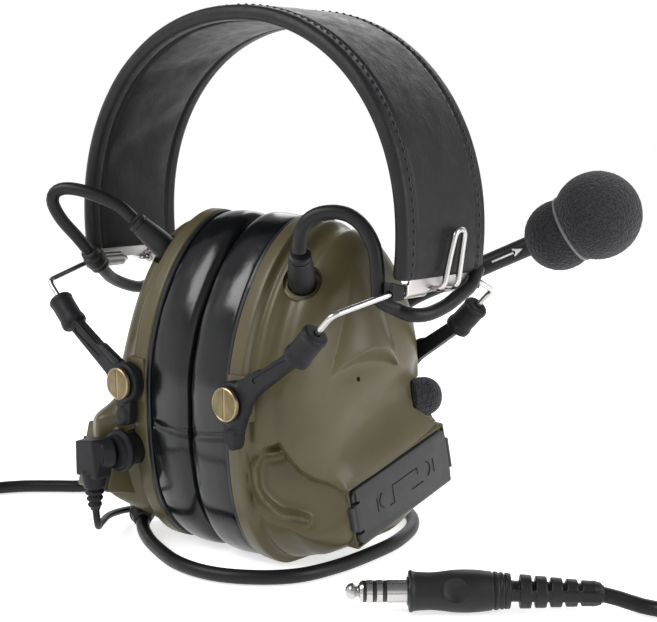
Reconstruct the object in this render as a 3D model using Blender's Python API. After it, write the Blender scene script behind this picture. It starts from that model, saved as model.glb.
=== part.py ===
"""Radio headset: two ear cups on a sprung headband, with a boom microphone and a plug lead.

The headset stands on its cups, with the cushions closed face to face.
Sizes and places are in millimetres, measured from the point of the floor midway between the
cushions: X runs from ear to ear (the wearer's right cup is at +X), +Y is the wearer's front and
+Z is up.  Objects are made in metres, and the last step moves them so that the part's own
origin is on the floor under the middle of the headset's box, without its free lead.
"""
import math

import bmesh
import bpy
from mathutils import Matrix, Vector

MM = 0.001
GAP = 0.3                       # clearance between two pieces that touch
MODEL_CENTRE = (12.0, 25.0)      # X and Y of the middle of the headset's box
SIDES = {"right": 1, "left": -1}

# Ear cups: an egg-shaped outline in the Y-Z plane, wide at the foot and pointed at the top.
CUP_SIDES = 32
CUP_HALF_WIDTH = 40.0
CUP_MIDDLE_Z = 60.0
CUP_UPPER = (62.0, 1.75)        # half height and power of the superellipse above the middle
CUP_LOWER = (61.5, 2.9)
LEFT_LEAN_SPAN = 25.0           # the left cup's outer face leans rearwards below the middle
# Each ring of a cup part: distance from the midplane, inset of its outline, shift along Y.
SHELL_OUTSIDE = [(20.8, 0, 0), (27, 0, 0), (29, 3, 0.5), (36, 4, 3), (42, 6, 3.5), (46, 11, 4)]
SHELL_INSIDE = [(43.6, 13, 4), (40.6, 8.4, 3.5), (35, 6.4, 2.8), (28.4, 5.4, 0.5), (26.4, 2.6, 0),
                (20.8, 2.4, 0)]
CUSHION_RINGS = [(17.7, 1.2, 0), (9, 0.6, 0), (3, 2.6, 0), (GAP / 2, 8, 0), (GAP / 2, 12, 0),
                 (4, 16.4, 0), (17.7, 17.4, 0)]
BAFFLE_RINGS = [(20.5, 0.3, 0), (18, 0.3, 0), (18, 17, 0), (20.5, 17, 0)]
LINER_RINGS = [(22.6, 7.5, 0.3), (28, 7.5, 0.3)]
SPEAKER_PLACE = (2.0, 70.0)     # Y and Z of the driver's centre
SPEAKER_STEPS = [(28.4, 18), (33, 18), (33.3, 9), (38, 9)]

# Battery compartment: a block across the lower outer face, tilted up towards the front on the
# right cup; the left cup's compartment is turned round, so it tilts up towards the rear.
BAY_CENTRE = (17.3, 25.9)       # Y and Z
BAY_TILT = math.radians(14.3)
BAY_BLOCK = (31, 49, 57, 24)    # inner X, outer X, length, height
BAY_POCKET = (37, 50, 50, 13)
DOOR = (49.3, 52, 54, 21.4)
BATTERY_RADIUS = 5.1
BATTERY_LENGTH = 44.0
BATTERY_X = 43.4
CONTACT_STRIP = (37.3, 45.0, 9.0)     # inner X, outer X, height

# Arms: a hub on the cup's pivot screw, a limb going up and outwards, and a wire sleeve.
PIVOT = (27.0, 62.0)            # X and Z of both screws' axis
ARM_FACES = (40.7, 45.5)        # inner and outer faces, distance from the midplane of symmetry
ARM_MIDDLE = 43.1
HUB_RADIUS = 8.3
TAIL_TIP = (26.8, 47.4)
LIMB_TIP = (57.0, 82.0)
SLEEVE = ((55.6, 80.5), (64.1, 89.0), 4.2)
WIRE_RADIUS = 1.0
WIRE_BEND = (70.2, 95.1)
WIRE_TAIL = (59.2, 84.1)        # end of the wire inside the sleeve
SCREW_HEAD = (5.6, 1.7)         # radius, thickness
SCREW_SHANK = 2.9
BORE_PLAY = 0.35

# Headband: its centre line is a superellipse in the X-Z plane, cut off at the two feet.
BAND_CENTRE = (3.0, 118.0)
BAND_HALF = (76.4, 72.6)
BAND_POWER = 2.1
BAND_FOOT_ANGLE = math.radians(99.5)
BAND_JOINT_ANGLE = math.radians(38.0)
BAND_HALF_WIDTH = 22.3
PAD_HALF_THICK = 3.0
PAD_CAVITY = (1.8, 20.8)        # half thickness, half width of the space inside the pad
SPRING_HALF = (0.4, 17.0)
SPRING_FOOT_ANGLE = math.radians(94.5)
FOOT_TUBE_Z = 100.3
FOOT_TUBE = (2.0, 6.4, 17.0)    # radius, inner end, outer end along Y
FOOT_PLATE = (0.6, 16.0, 99.0, 113.0)

# Boom microphone, on the front of the left cup.
BOOM_PIVOT = (-15.4, 47.0, 34.0)
BOOM_ROUTE = [(-15.4, 51.6, 40), (-11.6, 54.6, 50), (-2, 59, 66.5), (14, 65, 84), (40, 72.5, 97),
              (65.7, 80.5, 109.5)]
BOOM_RADIUS = 3.75
MIC_START = (66.0, 80.6, 109.6)
MIC_END = (84.6, 88.3, 118.4)
FOAM_BALLS = [((70, 82.5, 111.5), 13.5), ((88, 90, 120), 16.4)]

# Leads that the headset holds from end to end.
LEAD_RADIUS = 2.4
TOP_GLANDS = {"right": (37, -20, 101.0), "left": (-37, -14, 107.0)}
GLAND_REACH = (7, -9, 10.7)     # from the foot of a top gland to its end
AUDIO_ROUTES = {
    "right": [(44.4, -29.6, 112.4), (46, -31, 116.6), (48.5, -31.6, 121.3), (52, -30, 124.4),
              (57, -27.5, 125.5), (62, -25, 124.4), (66.6, -23.4, 120.6), (70, -22.8, 115),
              (71.4, -22.8, 109), (71.6, -22.4, 103), (71.8, -21.6, 98), (72.6, -18.6, 93.8),
              (77.2, -13.4, 92.2), (81, -6, 92), (82.6, 3, 93.6), (82.8, 11.5, 96.4),
              (82.6, 17, 99.6), (82, 19.6, 102.6)],
    "left": [(-44.4, -23.6, 118.4), (-47, -25.5, 121.6), (-50, -27.6, 124), (-55, -31, 126.6),
             (-61, -34.6, 128.8), (-66.6, -37.5, 129.3), (-70, -39.4, 127.6),
             (-71.2, -39.4, 123.6), (-70, -36.4, 117.4), (-67.6, -31.6, 111), (-66, -27, 105),
             (-65.4, -22.6, 99.6), (-66.4, -19, 94.8), (-70.4, -13, 92), (-74.6, -5, 91.4),
             (-77, 4, 92.6), (-77.4, 12, 96), (-77, 17.2, 99.6), (-76, 19.6, 102.6)],
}
MIC_SOCKET = (-28.6, 37.2)      # X and Z, on the rear of the left cup
MIC_LEAD_RADIUS = 1.3
MIC_LEAD_ROUTE = [(-34.6, -52.2, 15.6), (-34.4, -51.8, 11.8), (-36.4, -49.6, 8.6),
                  (-41, -44.5, 7.8), (-48, -35.5, 7), (-53, -25, 5.6), (-55, -12, 4),
                  (-55.6, 2, 3.2),
                  (-55.4, 16, 3.4), (-54, 30, 5), (-50, 41, 9), (-43, 48, 13.5), (-34, 50, 18),
                  (-28, 48.8, 21.6), (-25, 46.4, 25.8)]

# Free lead: from the gland under the left cup to the plug, in three stretches and one coil.
DOWNLEAD_RADIUS = 2.5
DOWNLEAD_NEAR = [(-40.2, -25.4, 4.6), (-36, -28.8, 3.2), (-29.5, -33, 2.8), (-17.6, -39.4, 2.8),
                 (1.8, -46.6, 2.8), (19.2, -46.8, 2.8), (33.4, -39.8, 2.8), (43, -28.7, 2.8),
                 (46.6, -13.2, 2.8), (46.8, 4, 2.8), (44.8, 22, 2.8), (38, 40, 2.8),
                 (26, 53, 2.8), (9, 59.6, 2.8), (-9, 60, 2.8), (-23.6, 61.2, 2.8),
                 (-34.3, 66.8, 2.8)]
COIL_CENTRE = (-62.0, 85.0)
COIL_RADIUS = 27.5              # middle of the turns
COIL_TURNS_HEIGHT = 10.0
COIL_HALF_THICK = 5.0
DOWNLEAD_FAR = [(-89.2, 66, 2.8), (-95, 59, 2.8), (-97, 46, 2.8), (-94, 28, 2.8),
                (-94, 10, 2.8), (-99.5, -5, 2.8), (-110, -14.5, 2.8), (-120.8, -25, 2.8),
                (-127.5, -40, 2.8), (-124, -60, 2.8), (-108, -78, 2.8), (-80, -94, 2.8),
                (-46, -112, 2.8), (-12, -127, 2.8), (22, -125, 2.8), (58, -101, 2.8),
                (92, -72, 2.8), (128, -42, 2.8), (160, -14, 2.8), (168.5, 4, 2.8),
                (163, 17, 2.8), (152, 22, 2.8), (144, 20.4, 3.2), (138, 16.6, 5.2),
                (133.6, 13.6, 6.4)]
LEAD_POINT_STEP = 13.0
PLUG_TIP = (72.2, -39, 6.9)
PLUG_BACK = (108.8, -6.0, 6.9)
BOOT_END = (133.2, 13.3, 6.5)
# Outlines of the turned pieces along the plug's axis: (distance from its tip, radius).
PLUG_PIN = [(0, 0.8), (0.9, 2.2), (2.2, 2.6), (3.6, 1.6), (4.4, 2.6), (5.6, 3.5), (5.61, 3.2),
            (6.59, 3.2), (6.6, 3.56), (8.8, 3.56), (8.81, 3.2), (9.79, 3.2), (9.8, 3.56),
            (12.0, 3.56), (12.01, 3.2), (12.99, 3.2), (13.0, 3.56), (19.6, 3.56)]
PLUG_HANDLE = [(20.0, 4.4), (21.4, 5.6), (24, 5.4), (30, 5.6), (37, 6.6), (43, 6.4), (49.6, 5.6)]

COLOURS = {                     # colour, metallic, roughness
    "olive": ((0.105, 0.088, 0.052), 0.0, 0.45),
    "black": ((0.012, 0.012, 0.013), 0.0, 0.5),
    "gloss": ((0.006, 0.006, 0.007), 0.0, 0.15),
    "leather": ((0.016, 0.016, 0.018), 0.0, 0.5),
    "foam": ((0.02, 0.02, 0.022), 0.0, 0.95),
    "cable": ((0.012, 0.012, 0.013), 0.0, 0.6),
    "steel": ((0.6, 0.6, 0.6), 1.0, 0.25),
    "brass": ((0.35, 0.24, 0.1), 1.0, 0.4),
    "board": ((0.02, 0.12, 0.05), 0.0, 0.5),
    "battery": ((0.3, 0.3, 0.32), 0.6, 0.4),
}

made = {}


# ---------------------------------------------------------------- building blocks

def material(kind):
    found = bpy.data.materials.get(kind)
    if found:
        return found
    colour, metallic, roughness = COLOURS[kind]
    new = bpy.data.materials.new(kind)
    new.use_nodes = True
    shader = new.node_tree.nodes["Principled BSDF"]
    shader.inputs["Base Color"].default_value = (*colour, 1)
    shader.inputs["Metallic"].default_value = metallic
    shader.inputs["Roughness"].default_value = roughness
    return new


def add_object(name, bm, kind, side=1):
    """Turn a shape in millimetres into an object; side -1 mirrors it to the wearer's left."""
    bmesh.ops.scale(bm, vec=(side * MM, MM, MM), verts=bm.verts)
    bmesh.ops.recalc_face_normals(bm, faces=bm.faces)
    mesh = bpy.data.meshes.new(name)
    bm.to_mesh(mesh)
    bm.free()
    mesh.materials.append(material(kind))
    mesh.shade_smooth()
    mesh.set_sharp_from_angle(angle=math.radians(35))
    obj = bpy.data.objects.new(name, mesh)
    bpy.context.collection.objects.link(obj)
    made[name] = obj
    return obj


def combine(obj, shapes, operation, side=1):
    """Join shapes to an object or cut them from it, and keep the result as its mesh."""
    for shape in shapes:
        tool = add_object("tool", shape, "black", side)
        del made["tool"]
        change = obj.modifiers.new(operation.lower(), "BOOLEAN")
        change.operation = operation
        change.object = tool
        bpy.context.view_layer.update()
        result = obj.evaluated_get(bpy.context.evaluated_depsgraph_get())
        mesh = bpy.data.meshes.new_from_object(result)
        obj.modifiers.clear()
        obj.data = mesh
        bpy.data.objects.remove(tool)


def loft(rings, wrap=False):
    """A closed skin over rings of points; wrap joins the last ring to the first."""
    bm = bmesh.new()
    rows = [[bm.verts.new(point) for point in ring] for ring in rings]
    pairs = list(zip(rows, rows[1:]))
    if wrap:
        pairs.append((rows[-1], rows[0]))
    else:
        bm.faces.new(rows[0])
        bm.faces.new(reversed(rows[-1]))
    for low, high in pairs:
        for i in range(len(low)):
            j = (i + 1) % len(low)
            bm.faces.new((low[i], low[j], high[j], high[i]))
    return bm


def cup_ring(x, inset, shift, side=1, count=CUP_SIDES):
    """The cup's outline at one distance from the midplane, with a flat foot."""
    ring = []
    for i in range(count):
        angle = 2 * math.pi * (i + 0.5) / count
        c, s = math.cos(angle), math.sin(angle)
        half_z, power = CUP_UPPER if s > 0 else CUP_LOWER
        term = abs(c / (CUP_HALF_WIDTH - inset)) ** power + abs(s / (half_z - inset)) ** power
        reach = term ** (-1 / power)
        z = max(CUP_MIDDLE_Z + reach * s, inset)
        lean = 1 if side > 0 else max(-1, min(1, (z - CUP_MIDDLE_Z) / LEFT_LEAN_SPAN))
        ring.append((x, shift * lean + reach * c, z))
    return ring


def turned(start, end, outline, sides=16):
    """A turned solid: (distance, radius) pairs along the line from start towards end."""
    start, end = Vector(start), Vector(end)
    turn = (end - start).to_track_quat("Z", "Y").to_matrix()
    rings = []
    for distance, radius in outline:
        ring = [start + turn @ Vector((radius * math.cos(2 * math.pi * i / sides),
                                       radius * math.sin(2 * math.pi * i / sides), distance))
                for i in range(sides)]
        rings.append(ring)
    return loft(rings)


def rod(start, end, radius, end_radius=None, sides=16):
    length = (Vector(end) - Vector(start)).length
    return turned(start, end, [(0, radius), (length, end_radius or radius)], sides)


def box(low, high):
    bm = bmesh.new()
    bmesh.ops.create_cube(bm, size=1)
    low, high = Vector(low), Vector(high)
    bmesh.ops.scale(bm, vec=high - low, verts=bm.verts)
    bmesh.ops.translate(bm, vec=(high + low) / 2, verts=bm.verts)
    return bm


def bay_box(size, side=1):
    """A block in the tilted directions of one cup's battery compartment."""
    inner, outer, length, height = size
    bm = box((inner, -length / 2, -height / 2), (outer, length / 2, height / 2))
    bmesh.ops.rotate(bm, matrix=Matrix.Rotation(BAY_TILT, 3, "X"), verts=bm.verts)
    bmesh.ops.translate(bm, vec=(0, *BAY_CENTRE), verts=bm.verts)
    bmesh.ops.scale(bm, vec=(1, side, 1), verts=bm.verts)
    return bm


def bay_point(x, along, across, side=1):
    spot = Matrix.Rotation(BAY_TILT, 3, "X") @ Vector((0, along, across))
    return Vector((x, side * (BAY_CENTRE[0] + spot.y), BAY_CENTRE[1] + spot.z))


def hull_prism(first, second, faces):
    """The hull of two circles (x, z, radius) in the X-Z plane, extruded between two Y faces."""
    bm = bmesh.new()
    for x, z, radius in (first, second):
        for i in range(12):
            angle = 2 * math.pi * i / 12
            for y in faces:
                bm.verts.new((x + radius * math.cos(angle), y, z + radius * math.sin(angle)))
    hull = bmesh.ops.convex_hull(bm, input=bm.verts)
    spare = {v for v in hull["geom_interior"] if isinstance(v, bmesh.types.BMVert)}
    bmesh.ops.delete(bm, geom=list(spare), context="VERTS")
    return bm


def smooth_route(points, step):
    """Points every step along a smooth curve through the given points (Catmull-Rom)."""
    knots = [Vector(p) for p in points]
    knots = [2 * knots[0] - knots[1]] + knots + [2 * knots[-1] - knots[-2]]
    route = [knots[1]]
    for a, b, c, d in zip(knots, knots[1:], knots[2:], knots[3:]):
        pieces = max(1, round((c - b).length / step))
        for i in range(1, pieces + 1):
            t = i / pieces
            route.append(0.5 * (2 * b + (c - a) * t + (2 * a - 5 * b + 4 * c - d) * t ** 2
                                + (3 * b - a - 3 * c + d) * t ** 3))
    return route


def rounded_route(points, radius):
    """Straight runs with each corner rounded off."""
    knots = [Vector(p) for p in points]
    route = [knots[0]]
    for before, corner, after in zip(knots, knots[1:], knots[2:]):
        start = corner + (before - corner).normalized() * min(radius, (before - corner).length / 2)
        end = corner + (after - corner).normalized() * min(radius, (after - corner).length / 2)
        for t in (0, 0.5, 1):
            route.append((1 - t) ** 2 * start + 2 * t * (1 - t) * corner + t ** 2 * end)
    return route + [knots[-1]]


def add_tube(name, points, radius, kind, resolution=2):
    """A round cable or wire as a curve with closed ends."""
    curve = bpy.data.curves.new(name, "CURVE")
    curve.dimensions = "3D"
    curve.bevel_depth = radius * MM
    curve.bevel_resolution = resolution
    curve.use_fill_caps = True
    spline = curve.splines.new("POLY")
    spline.points.add(len(points) - 1)
    for place, point in zip(spline.points, points):
        place.co = (*(Vector(point) * MM), 1)
    curve.materials.append(material(kind))
    obj = bpy.data.objects.new(name, curve)
    bpy.context.collection.objects.link(obj)
    made[name] = obj
    return obj


def set_origin(obj, point):
    """Put a moving piece's origin on its joint's axis."""
    spot = Vector(point) * MM
    obj.data.transform(Matrix.Translation(-spot))
    obj.location = spot


# ---------------------------------------------------------------- cups

def make_cup(side_name, side):
    shell = add_object(f"cup_shell_{side_name}",
                       loft([cup_ring(*ring, side) for ring in SHELL_INSIDE]
                            + [cup_ring(*ring, side) for ring in SHELL_OUTSIDE]), "olive", side)
    combine(shell, [bay_box(BAY_BLOCK, side)], "UNION", side)
    holes = [bay_box(BAY_POCKET, side)]
    for end in (-1, 1):
        holes.append(rod((PIVOT[0], end * 34, PIVOT[1]), (PIVOT[0], end * 48, PIVOT[1]),
                         SCREW_SHANK + BORE_PLAY, sides=12))
    foot = Vector(TOP_GLANDS[side_name])
    foot.x = abs(foot.x)
    reach = Vector(GLAND_REACH)
    holes.append(rod(foot - reach * 0.35, foot + reach, 4.5))
    holes.append(rod(foam_point(-4, side), foam_point(14, side), 7.6))
    combine(shell, holes, "DIFFERENCE", side)

    add_object(f"ear_cushion_{side_name}",
               loft([cup_ring(*ring) for ring in CUSHION_RINGS], wrap=True), "gloss", side)
    add_object(f"baffle_{side_name}",
               loft([cup_ring(*ring) for ring in BAFFLE_RINGS], wrap=True), "black", side)
    add_object(f"foam_liner_{side_name}",
               loft([cup_ring(*ring) for ring in LINER_RINGS]), "foam", side)
    y, z = SPEAKER_PLACE
    steps = [(x - SPEAKER_STEPS[0][0], radius) for x, radius in SPEAKER_STEPS]
    add_object(f"speaker_{side_name}",
               turned((SPEAKER_STEPS[0][0], y, z), (60, y, z), steps, 20), "black", side)
    add_object(f"mic_foam_{side_name}",
               turned(foam_point(-3, side), foam_point(9, side),
                      [(0, 5), (0.5, 7.1), (7, 7.1), (10, 5.4), (12, 2.4)]), "foam", side)
    gland = turned(foot - reach * 0.2, foot + reach,
                   [(0, 4.1), (5, 4.1), (14, 3.6), (18.4, 3.2)], 12)
    add_object(f"top_gland_{side_name}", gland, "black", side)
    make_battery_parts(side_name, side)


def foam_point(distance, side=1):
    """A point on the axis of the outside microphone's foam, which faces front and outwards."""
    base = Vector((42.0, 36.4 if side > 0 else 32.4, 53.8))
    return base + Vector((0.5, 0.866, 0)) * distance


def make_battery_parts(side_name, side):
    half = BATTERY_LENGTH / 2
    add_object(f"battery_{side_name}",
               rod(bay_point(BATTERY_X, -half, 0, side), bay_point(BATTERY_X, half, 0, side),
                   BATTERY_RADIUS), "battery", side)
    low, high, across = CONTACT_STRIP
    contacts = add_object(f"battery_contacts_{side_name}",
                          bay_box((low, low + 0.7, 2 * half + 2.4, across), side), "steel",
                          side)
    ends = []
    for end in (-1, 1):
        plate = box((low + 0.2, end * (half + 0.8) - 0.35, -across / 2 + 0.2),
                    (high, end * (half + 0.8) + 0.35, across / 2 - 0.2))
        bmesh.ops.rotate(plate, matrix=Matrix.Rotation(BAY_TILT, 3, "X"), verts=plate.verts)
        bmesh.ops.translate(plate, vec=(0, *BAY_CENTRE), verts=plate.verts)
        bmesh.ops.scale(plate, vec=(1, side, 1), verts=plate.verts)
        ends.append(plate)
    combine(contacts, ends, "UNION", side)
    door = add_object(f"battery_door_{side_name}", bay_box(DOOR, side), "black", side)
    hinge = bay_point(DOOR[1], DOOR[2] / 2, 0, side)
    set_origin(door, (side * hinge.x, hinge.y, hinge.z))


# ---------------------------------------------------------------- arms and band

def make_arms(side_name, side):
    for end, end_name in ((-1, "rear"), (1, "front")):
        faces = [end * y for y in ARM_FACES]
        arm = add_object(f"arm_{end_name}_{side_name}",
                         rod((PIVOT[0], faces[0], PIVOT[1]), (PIVOT[0], faces[1], PIVOT[1]),
                             HUB_RADIUS), "black", side)
        tail = hull_prism((PIVOT[0], PIVOT[1] - 3, 5.6), (*TAIL_TIP, 2.2),
                          [end * (ARM_FACES[0] + 0.1), end * (ARM_FACES[1] - 0.1)])
        limb = hull_prism((PIVOT[0] + 4, PIVOT[1] + 1.5, 4.2), (*LIMB_TIP, 2.9),
                          [end * (ARM_FACES[0] + 0.05), end * (ARM_FACES[1] - 0.05)])
        low, high, radius = SLEEVE
        sleeve = rod((low[0], end * ARM_MIDDLE, low[1]), (high[0], end * ARM_MIDDLE, high[1]),
                     radius)
        combine(arm, [tail, limb, sleeve], "UNION", side)
        direction = Vector((high[0] - low[0], 0, high[1] - low[1])).normalized()
        mouth = Vector((high[0], end * ARM_MIDDLE, high[1]))
        bores = [rod(mouth - direction * 12.6, mouth + direction * 2, WIRE_RADIUS + BORE_PLAY,
                     sides=10),
                 rod((PIVOT[0], end * 38, PIVOT[1]), (PIVOT[0], end * 48, PIVOT[1]),
                     SCREW_SHANK + BORE_PLAY, sides=12)]
        combine(arm, bores, "DIFFERENCE", side)
        set_origin(arm, (side * PIVOT[0], 0, PIVOT[1]))
        head, thickness = SCREW_HEAD
        screw = turned((PIVOT[0], end * 36, PIVOT[1]), (PIVOT[0], end * 60, PIVOT[1]),
                       [(0, SCREW_SHANK), (ARM_FACES[1] + GAP - 36, SCREW_SHANK),
                        (ARM_FACES[1] + GAP - 35.99, head),
                        (ARM_FACES[1] + GAP - 36 + thickness * 0.7, head),
                        (ARM_FACES[1] + GAP - 36 + thickness, head - 0.7)], 12)
        add_object(f"pivot_screw_{end_name}_{side_name}", screw, "brass", side)


def band_point(angle, out=0.0):
    """A point of the band's centre line, or a distance outside it; angle 0 is the top."""
    def place(a):
        s, c = math.sin(a), math.cos(a)
        power = 2 / BAND_POWER
        return Vector((BAND_CENTRE[0] + BAND_HALF[0] * math.copysign(abs(s) ** power, s), 0,
                       BAND_CENTRE[1] + BAND_HALF[1] * math.copysign(abs(c) ** power, c)))
    along = (place(angle + 0.004) - place(angle - 0.004)).normalized()
    return place(angle) + Vector((-along.z, 0, along.x)) * out


def band_ring(angle, half_thick, half_width):
    inner, outer = band_point(angle, -half_thick), band_point(angle, half_thick)
    return [(p.x, y, p.z) for p, y in ((inner, -half_width), (outer, -half_width),
                                       (outer, half_width), (inner, half_width))]


def band_strip(start, end, pieces, half_thick, half_width):
    return [band_ring(start + (end - start) * i / pieces, half_thick, half_width)
            for i in range(pieces + 1)]


def make_pad(name, start, end, pieces):
    outer = band_strip(start, end, pieces, PAD_HALF_THICK, BAND_HALF_WIDTH)
    inner = band_strip(start, end, pieces, *PAD_CAVITY)
    return add_object(name, loft(outer + inner[::-1], wrap=True), "leather")


def make_band():
    seam = GAP / 2 / 74
    make_pad("band_pad_top", -BAND_JOINT_ANGLE + seam, BAND_JOINT_ANGLE - seam, 10)
    add_object("band_spring_top",
               loft(band_strip(-BAND_JOINT_ANGLE + seam, BAND_JOINT_ANGLE - seam, 10,
                               *SPRING_HALF)), "steel")
    for side_name, side in SIDES.items():
        start = side * (BAND_JOINT_ANGLE + seam)
        pad = make_pad(f"band_pad_{side_name}", start, side * BAND_FOOT_ANGLE, 8)
        strip = add_object(f"band_spring_{side_name}",
                           loft(band_strip(start, side * SPRING_FOOT_ANGLE, 7, *SPRING_HALF)),
                           "steel")
        make_foot(strip, side_name, side)
        axis = band_point(side * BAND_JOINT_ANGLE, PAD_HALF_THICK)
        set_origin(pad, axis)
        set_origin(strip, axis)


def make_foot(strip, side_name, side):
    """The spring's stamped foot with its rolled tube, the wire yoke in it and two clips."""
    foot_x = band_point(side * BAND_FOOT_ANGLE).x
    tube_x = foot_x - side * 1.2
    half_thick, half_width, low, high = FOOT_PLATE
    plate_x = foot_x + side * 0.3
    plate = box((plate_x - half_thick, -half_width, low),
                (plate_x + half_thick, half_width, high))
    radius, inner, outer = FOOT_TUBE
    tubes = [rod((tube_x, end * inner, FOOT_TUBE_Z), (tube_x, end * outer, FOOT_TUBE_Z), radius)
             for end in (-1, 1)]
    combine(strip, [plate, *tubes], "UNION")
    combine(strip, [box((tube_x - 6, -inner, low - 3), (tube_x + 6, inner, 105.0)),
                    rod((tube_x, -30, FOOT_TUBE_Z), (tube_x, 30, FOOT_TUBE_Z),
                        WIRE_RADIUS + BORE_PLAY, sides=10)], "DIFFERENCE")
    loop_x = foot_x + side * (PAD_HALF_THICK + 2.0)
    half = [(side * WIRE_TAIL[0], ARM_MIDDLE, WIRE_TAIL[1]),
            (side * WIRE_BEND[0], ARM_MIDDLE, WIRE_BEND[1]), (tube_x, 24.5, FOOT_TUBE_Z),
            (tube_x, 3.4, FOOT_TUBE_Z), (loop_x, 3.2, 101.0), (loop_x + side * 0.5, 2.6, 112.0),
            (loop_x + side * 1.0, 1.9, 119.0)]
    route = [(x, -y, z) for x, y, z in half] + half[::-1]
    add_tube(f"yoke_{side_name}", rounded_route(route, 2.6), WIRE_RADIUS, "steel")
    for end, end_name in ((-1, "rear"), (1, "front")):
        block = box((-2.2, -3.4, -3.8), (2.2, 3.4, 3.6))
        bmesh.ops.translate(block, vec=(tube_x - side * 0.6, end * 21.0, FOOT_TUBE_Z),
                            verts=block.verts)
        clip = add_object(f"cable_clip_{end_name}_{side_name}", block, "black")
        combine(clip, [rod((tube_x, -30, FOOT_TUBE_Z), (tube_x, 30, FOOT_TUBE_Z),
                           WIRE_RADIUS + BORE_PLAY, sides=10)], "DIFFERENCE")


# ---------------------------------------------------------------- boom, leads and buttons

def make_boom():
    x, y, z = BOOM_PIVOT
    mount = add_object("boom_mount", box((-29.6, 39.9, 27.4), (-19.2, 51.6, 40.6)), "black")
    combine(mount, [rod((-22, y, z), (x + 4, y, z), 2.6)], "UNION")
    knuckle = add_object("boom_tube", rod((x - 3.4, y, z), (x + 3.2, y, z), 6.2), "black")
    route = [Vector(p) for p in BOOM_ROUTE]
    rings = []
    fine = smooth_route(route, 9)
    for before, here, after in zip([fine[0]] + fine, fine, fine[1:] + [fine[-1]]):
        turn = (after - before).to_track_quat("Z", "X").to_matrix()
        rings.append([here + turn @ Vector((BOOM_RADIUS * math.cos(2 * math.pi * i / 12),
                                            BOOM_RADIUS * math.sin(2 * math.pi * i / 12), 0))
                      for i in range(12)])
    combine(knuckle, [loft(rings), rod((x, y + 3.5, z + 3.5), fine[1], 3.3)], "UNION")
    combine(knuckle, [rod((x - 8, y, z), (x + 8, y, z), 2.6 + BORE_PLAY)], "DIFFERENCE")
    set_origin(knuckle, BOOM_PIVOT)
    add_object("mic_capsule", rod(MIC_START, MIC_END, 6.0), "black")
    (low, low_radius), (high, high_radius) = FOAM_BALLS
    screen = add_object("windscreen", ball(high, high_radius), "foam")
    combine(screen, [ball(low, low_radius)], "UNION")
    start, end = Vector(MIC_START), Vector(MIC_END)
    along = (end - start).normalized()
    combine(screen, [rod(start - along * 20, end + along, 6.4)], "DIFFERENCE")


def ball(centre, radius):
    bm = bmesh.new()
    bmesh.ops.create_uvsphere(bm, u_segments=14, v_segments=9, radius=radius)
    bmesh.ops.translate(bm, vec=centre, verts=bm.verts)
    return bm


def make_mic_lead():
    x, z = MIC_SOCKET
    shell = made["cup_shell_left"]
    combine(shell, [rod((x, -34, z), (x, -52, z), 6.3)], "DIFFERENCE")
    add_object("mic_socket", rod((x, -36.6, z), (x, -48.2, z), 6.0), "black")
    plug = add_object("mic_plug", box((-40.5, -56.1, 28.2), (-29, -48.5, 42.2)), "black")
    combine(plug, [rod((-34.8, -52.2, 29.2), (-34.6, -52.2, 16.0), 3.6, 2.0, 12)], "UNION")
    add_tube("mic_lead", smooth_route(MIC_LEAD_ROUTE, 7), MIC_LEAD_RADIUS, "cable")


def make_audio_leads():
    for side_name in SIDES:
        add_tube(f"audio_cable_{side_name}", smooth_route(AUDIO_ROUTES[side_name], 6),
                 LEAD_RADIUS, "cable")


def make_buttons():
    shell = made["cup_shell_right"]
    for name, y, z in (("button_up", 34.6, 94.0), ("button_power", 37.4, 86.0),
                       ("button_down", 39.4, 78.0)):
        combine(shell, [rod((33, y - 14, z), (33, y + 8, z), 3.35)], "DIFFERENCE")
        add_object(name, rod((33, y - 7.5, z), (33, y, z), 3.0), "black")
    add_object("circuit_board", box((39.6, -13, 60), (41.2, 19, 97)), "board")


def make_downlead():
    shell = made["cup_shell_left"]
    end, after = Vector(DOWNLEAD_NEAR[0]), Vector(DOWNLEAD_NEAR[1])
    along = (after - end).normalized()
    start = end - along * 13
    combine(shell, [rod(start - along * 8, end + along * 4, 4.4)], "DIFFERENCE")
    add_object("downlead_gland", rod(start, end - along * GAP, 4.0, 3.4, 12), "black")
    add_tube("downlead_near", smooth_route(DOWNLEAD_NEAR, LEAD_POINT_STEP), DOWNLEAD_RADIUS,
             "cable")
    rings = []
    for i in range(24):
        angle = 2 * math.pi * i / 24
        ring = []
        for out, up in ((-1, 0), (1, 0), (1, 1), (-1, 1)):
            reach = COIL_RADIUS + out * COIL_HALF_THICK
            ring.append((COIL_CENTRE[0] + reach * math.cos(angle),
                         COIL_CENTRE[1] + reach * math.sin(angle), 0.3 + up * COIL_TURNS_HEIGHT))
        rings.append(ring)
    add_object("downlead_coil", loft(rings, wrap=True), "cable")
    add_tube("downlead_far", smooth_route(DOWNLEAD_FAR, LEAD_POINT_STEP), DOWNLEAD_RADIUS,
             "cable")
    add_object("plug_pin", turned(PLUG_TIP, PLUG_BACK, PLUG_PIN, 10), "steel")
    add_object("plug_handle", turned(PLUG_TIP, PLUG_BACK, PLUG_HANDLE, 16), "black")
    back, end = Vector(PLUG_BACK), Vector(BOOT_END)
    along = (end - back).normalized()
    add_object("plug_boot", rod(back + along * 2.4, end - along * GAP, 5.4, 3.4, 12), "black")


def main():
    for obj in list(bpy.data.objects):
        bpy.data.objects.remove(obj)
    for side_name, side in SIDES.items():
        make_cup(side_name, side)
        make_arms(side_name, side)
    make_band()
    make_boom()
    make_mic_lead()
    make_audio_leads()
    make_buttons()
    make_downlead()
    for obj in made.values():
        obj.location -= Vector((*MODEL_CENTRE, 0)) * MM


main()
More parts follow.
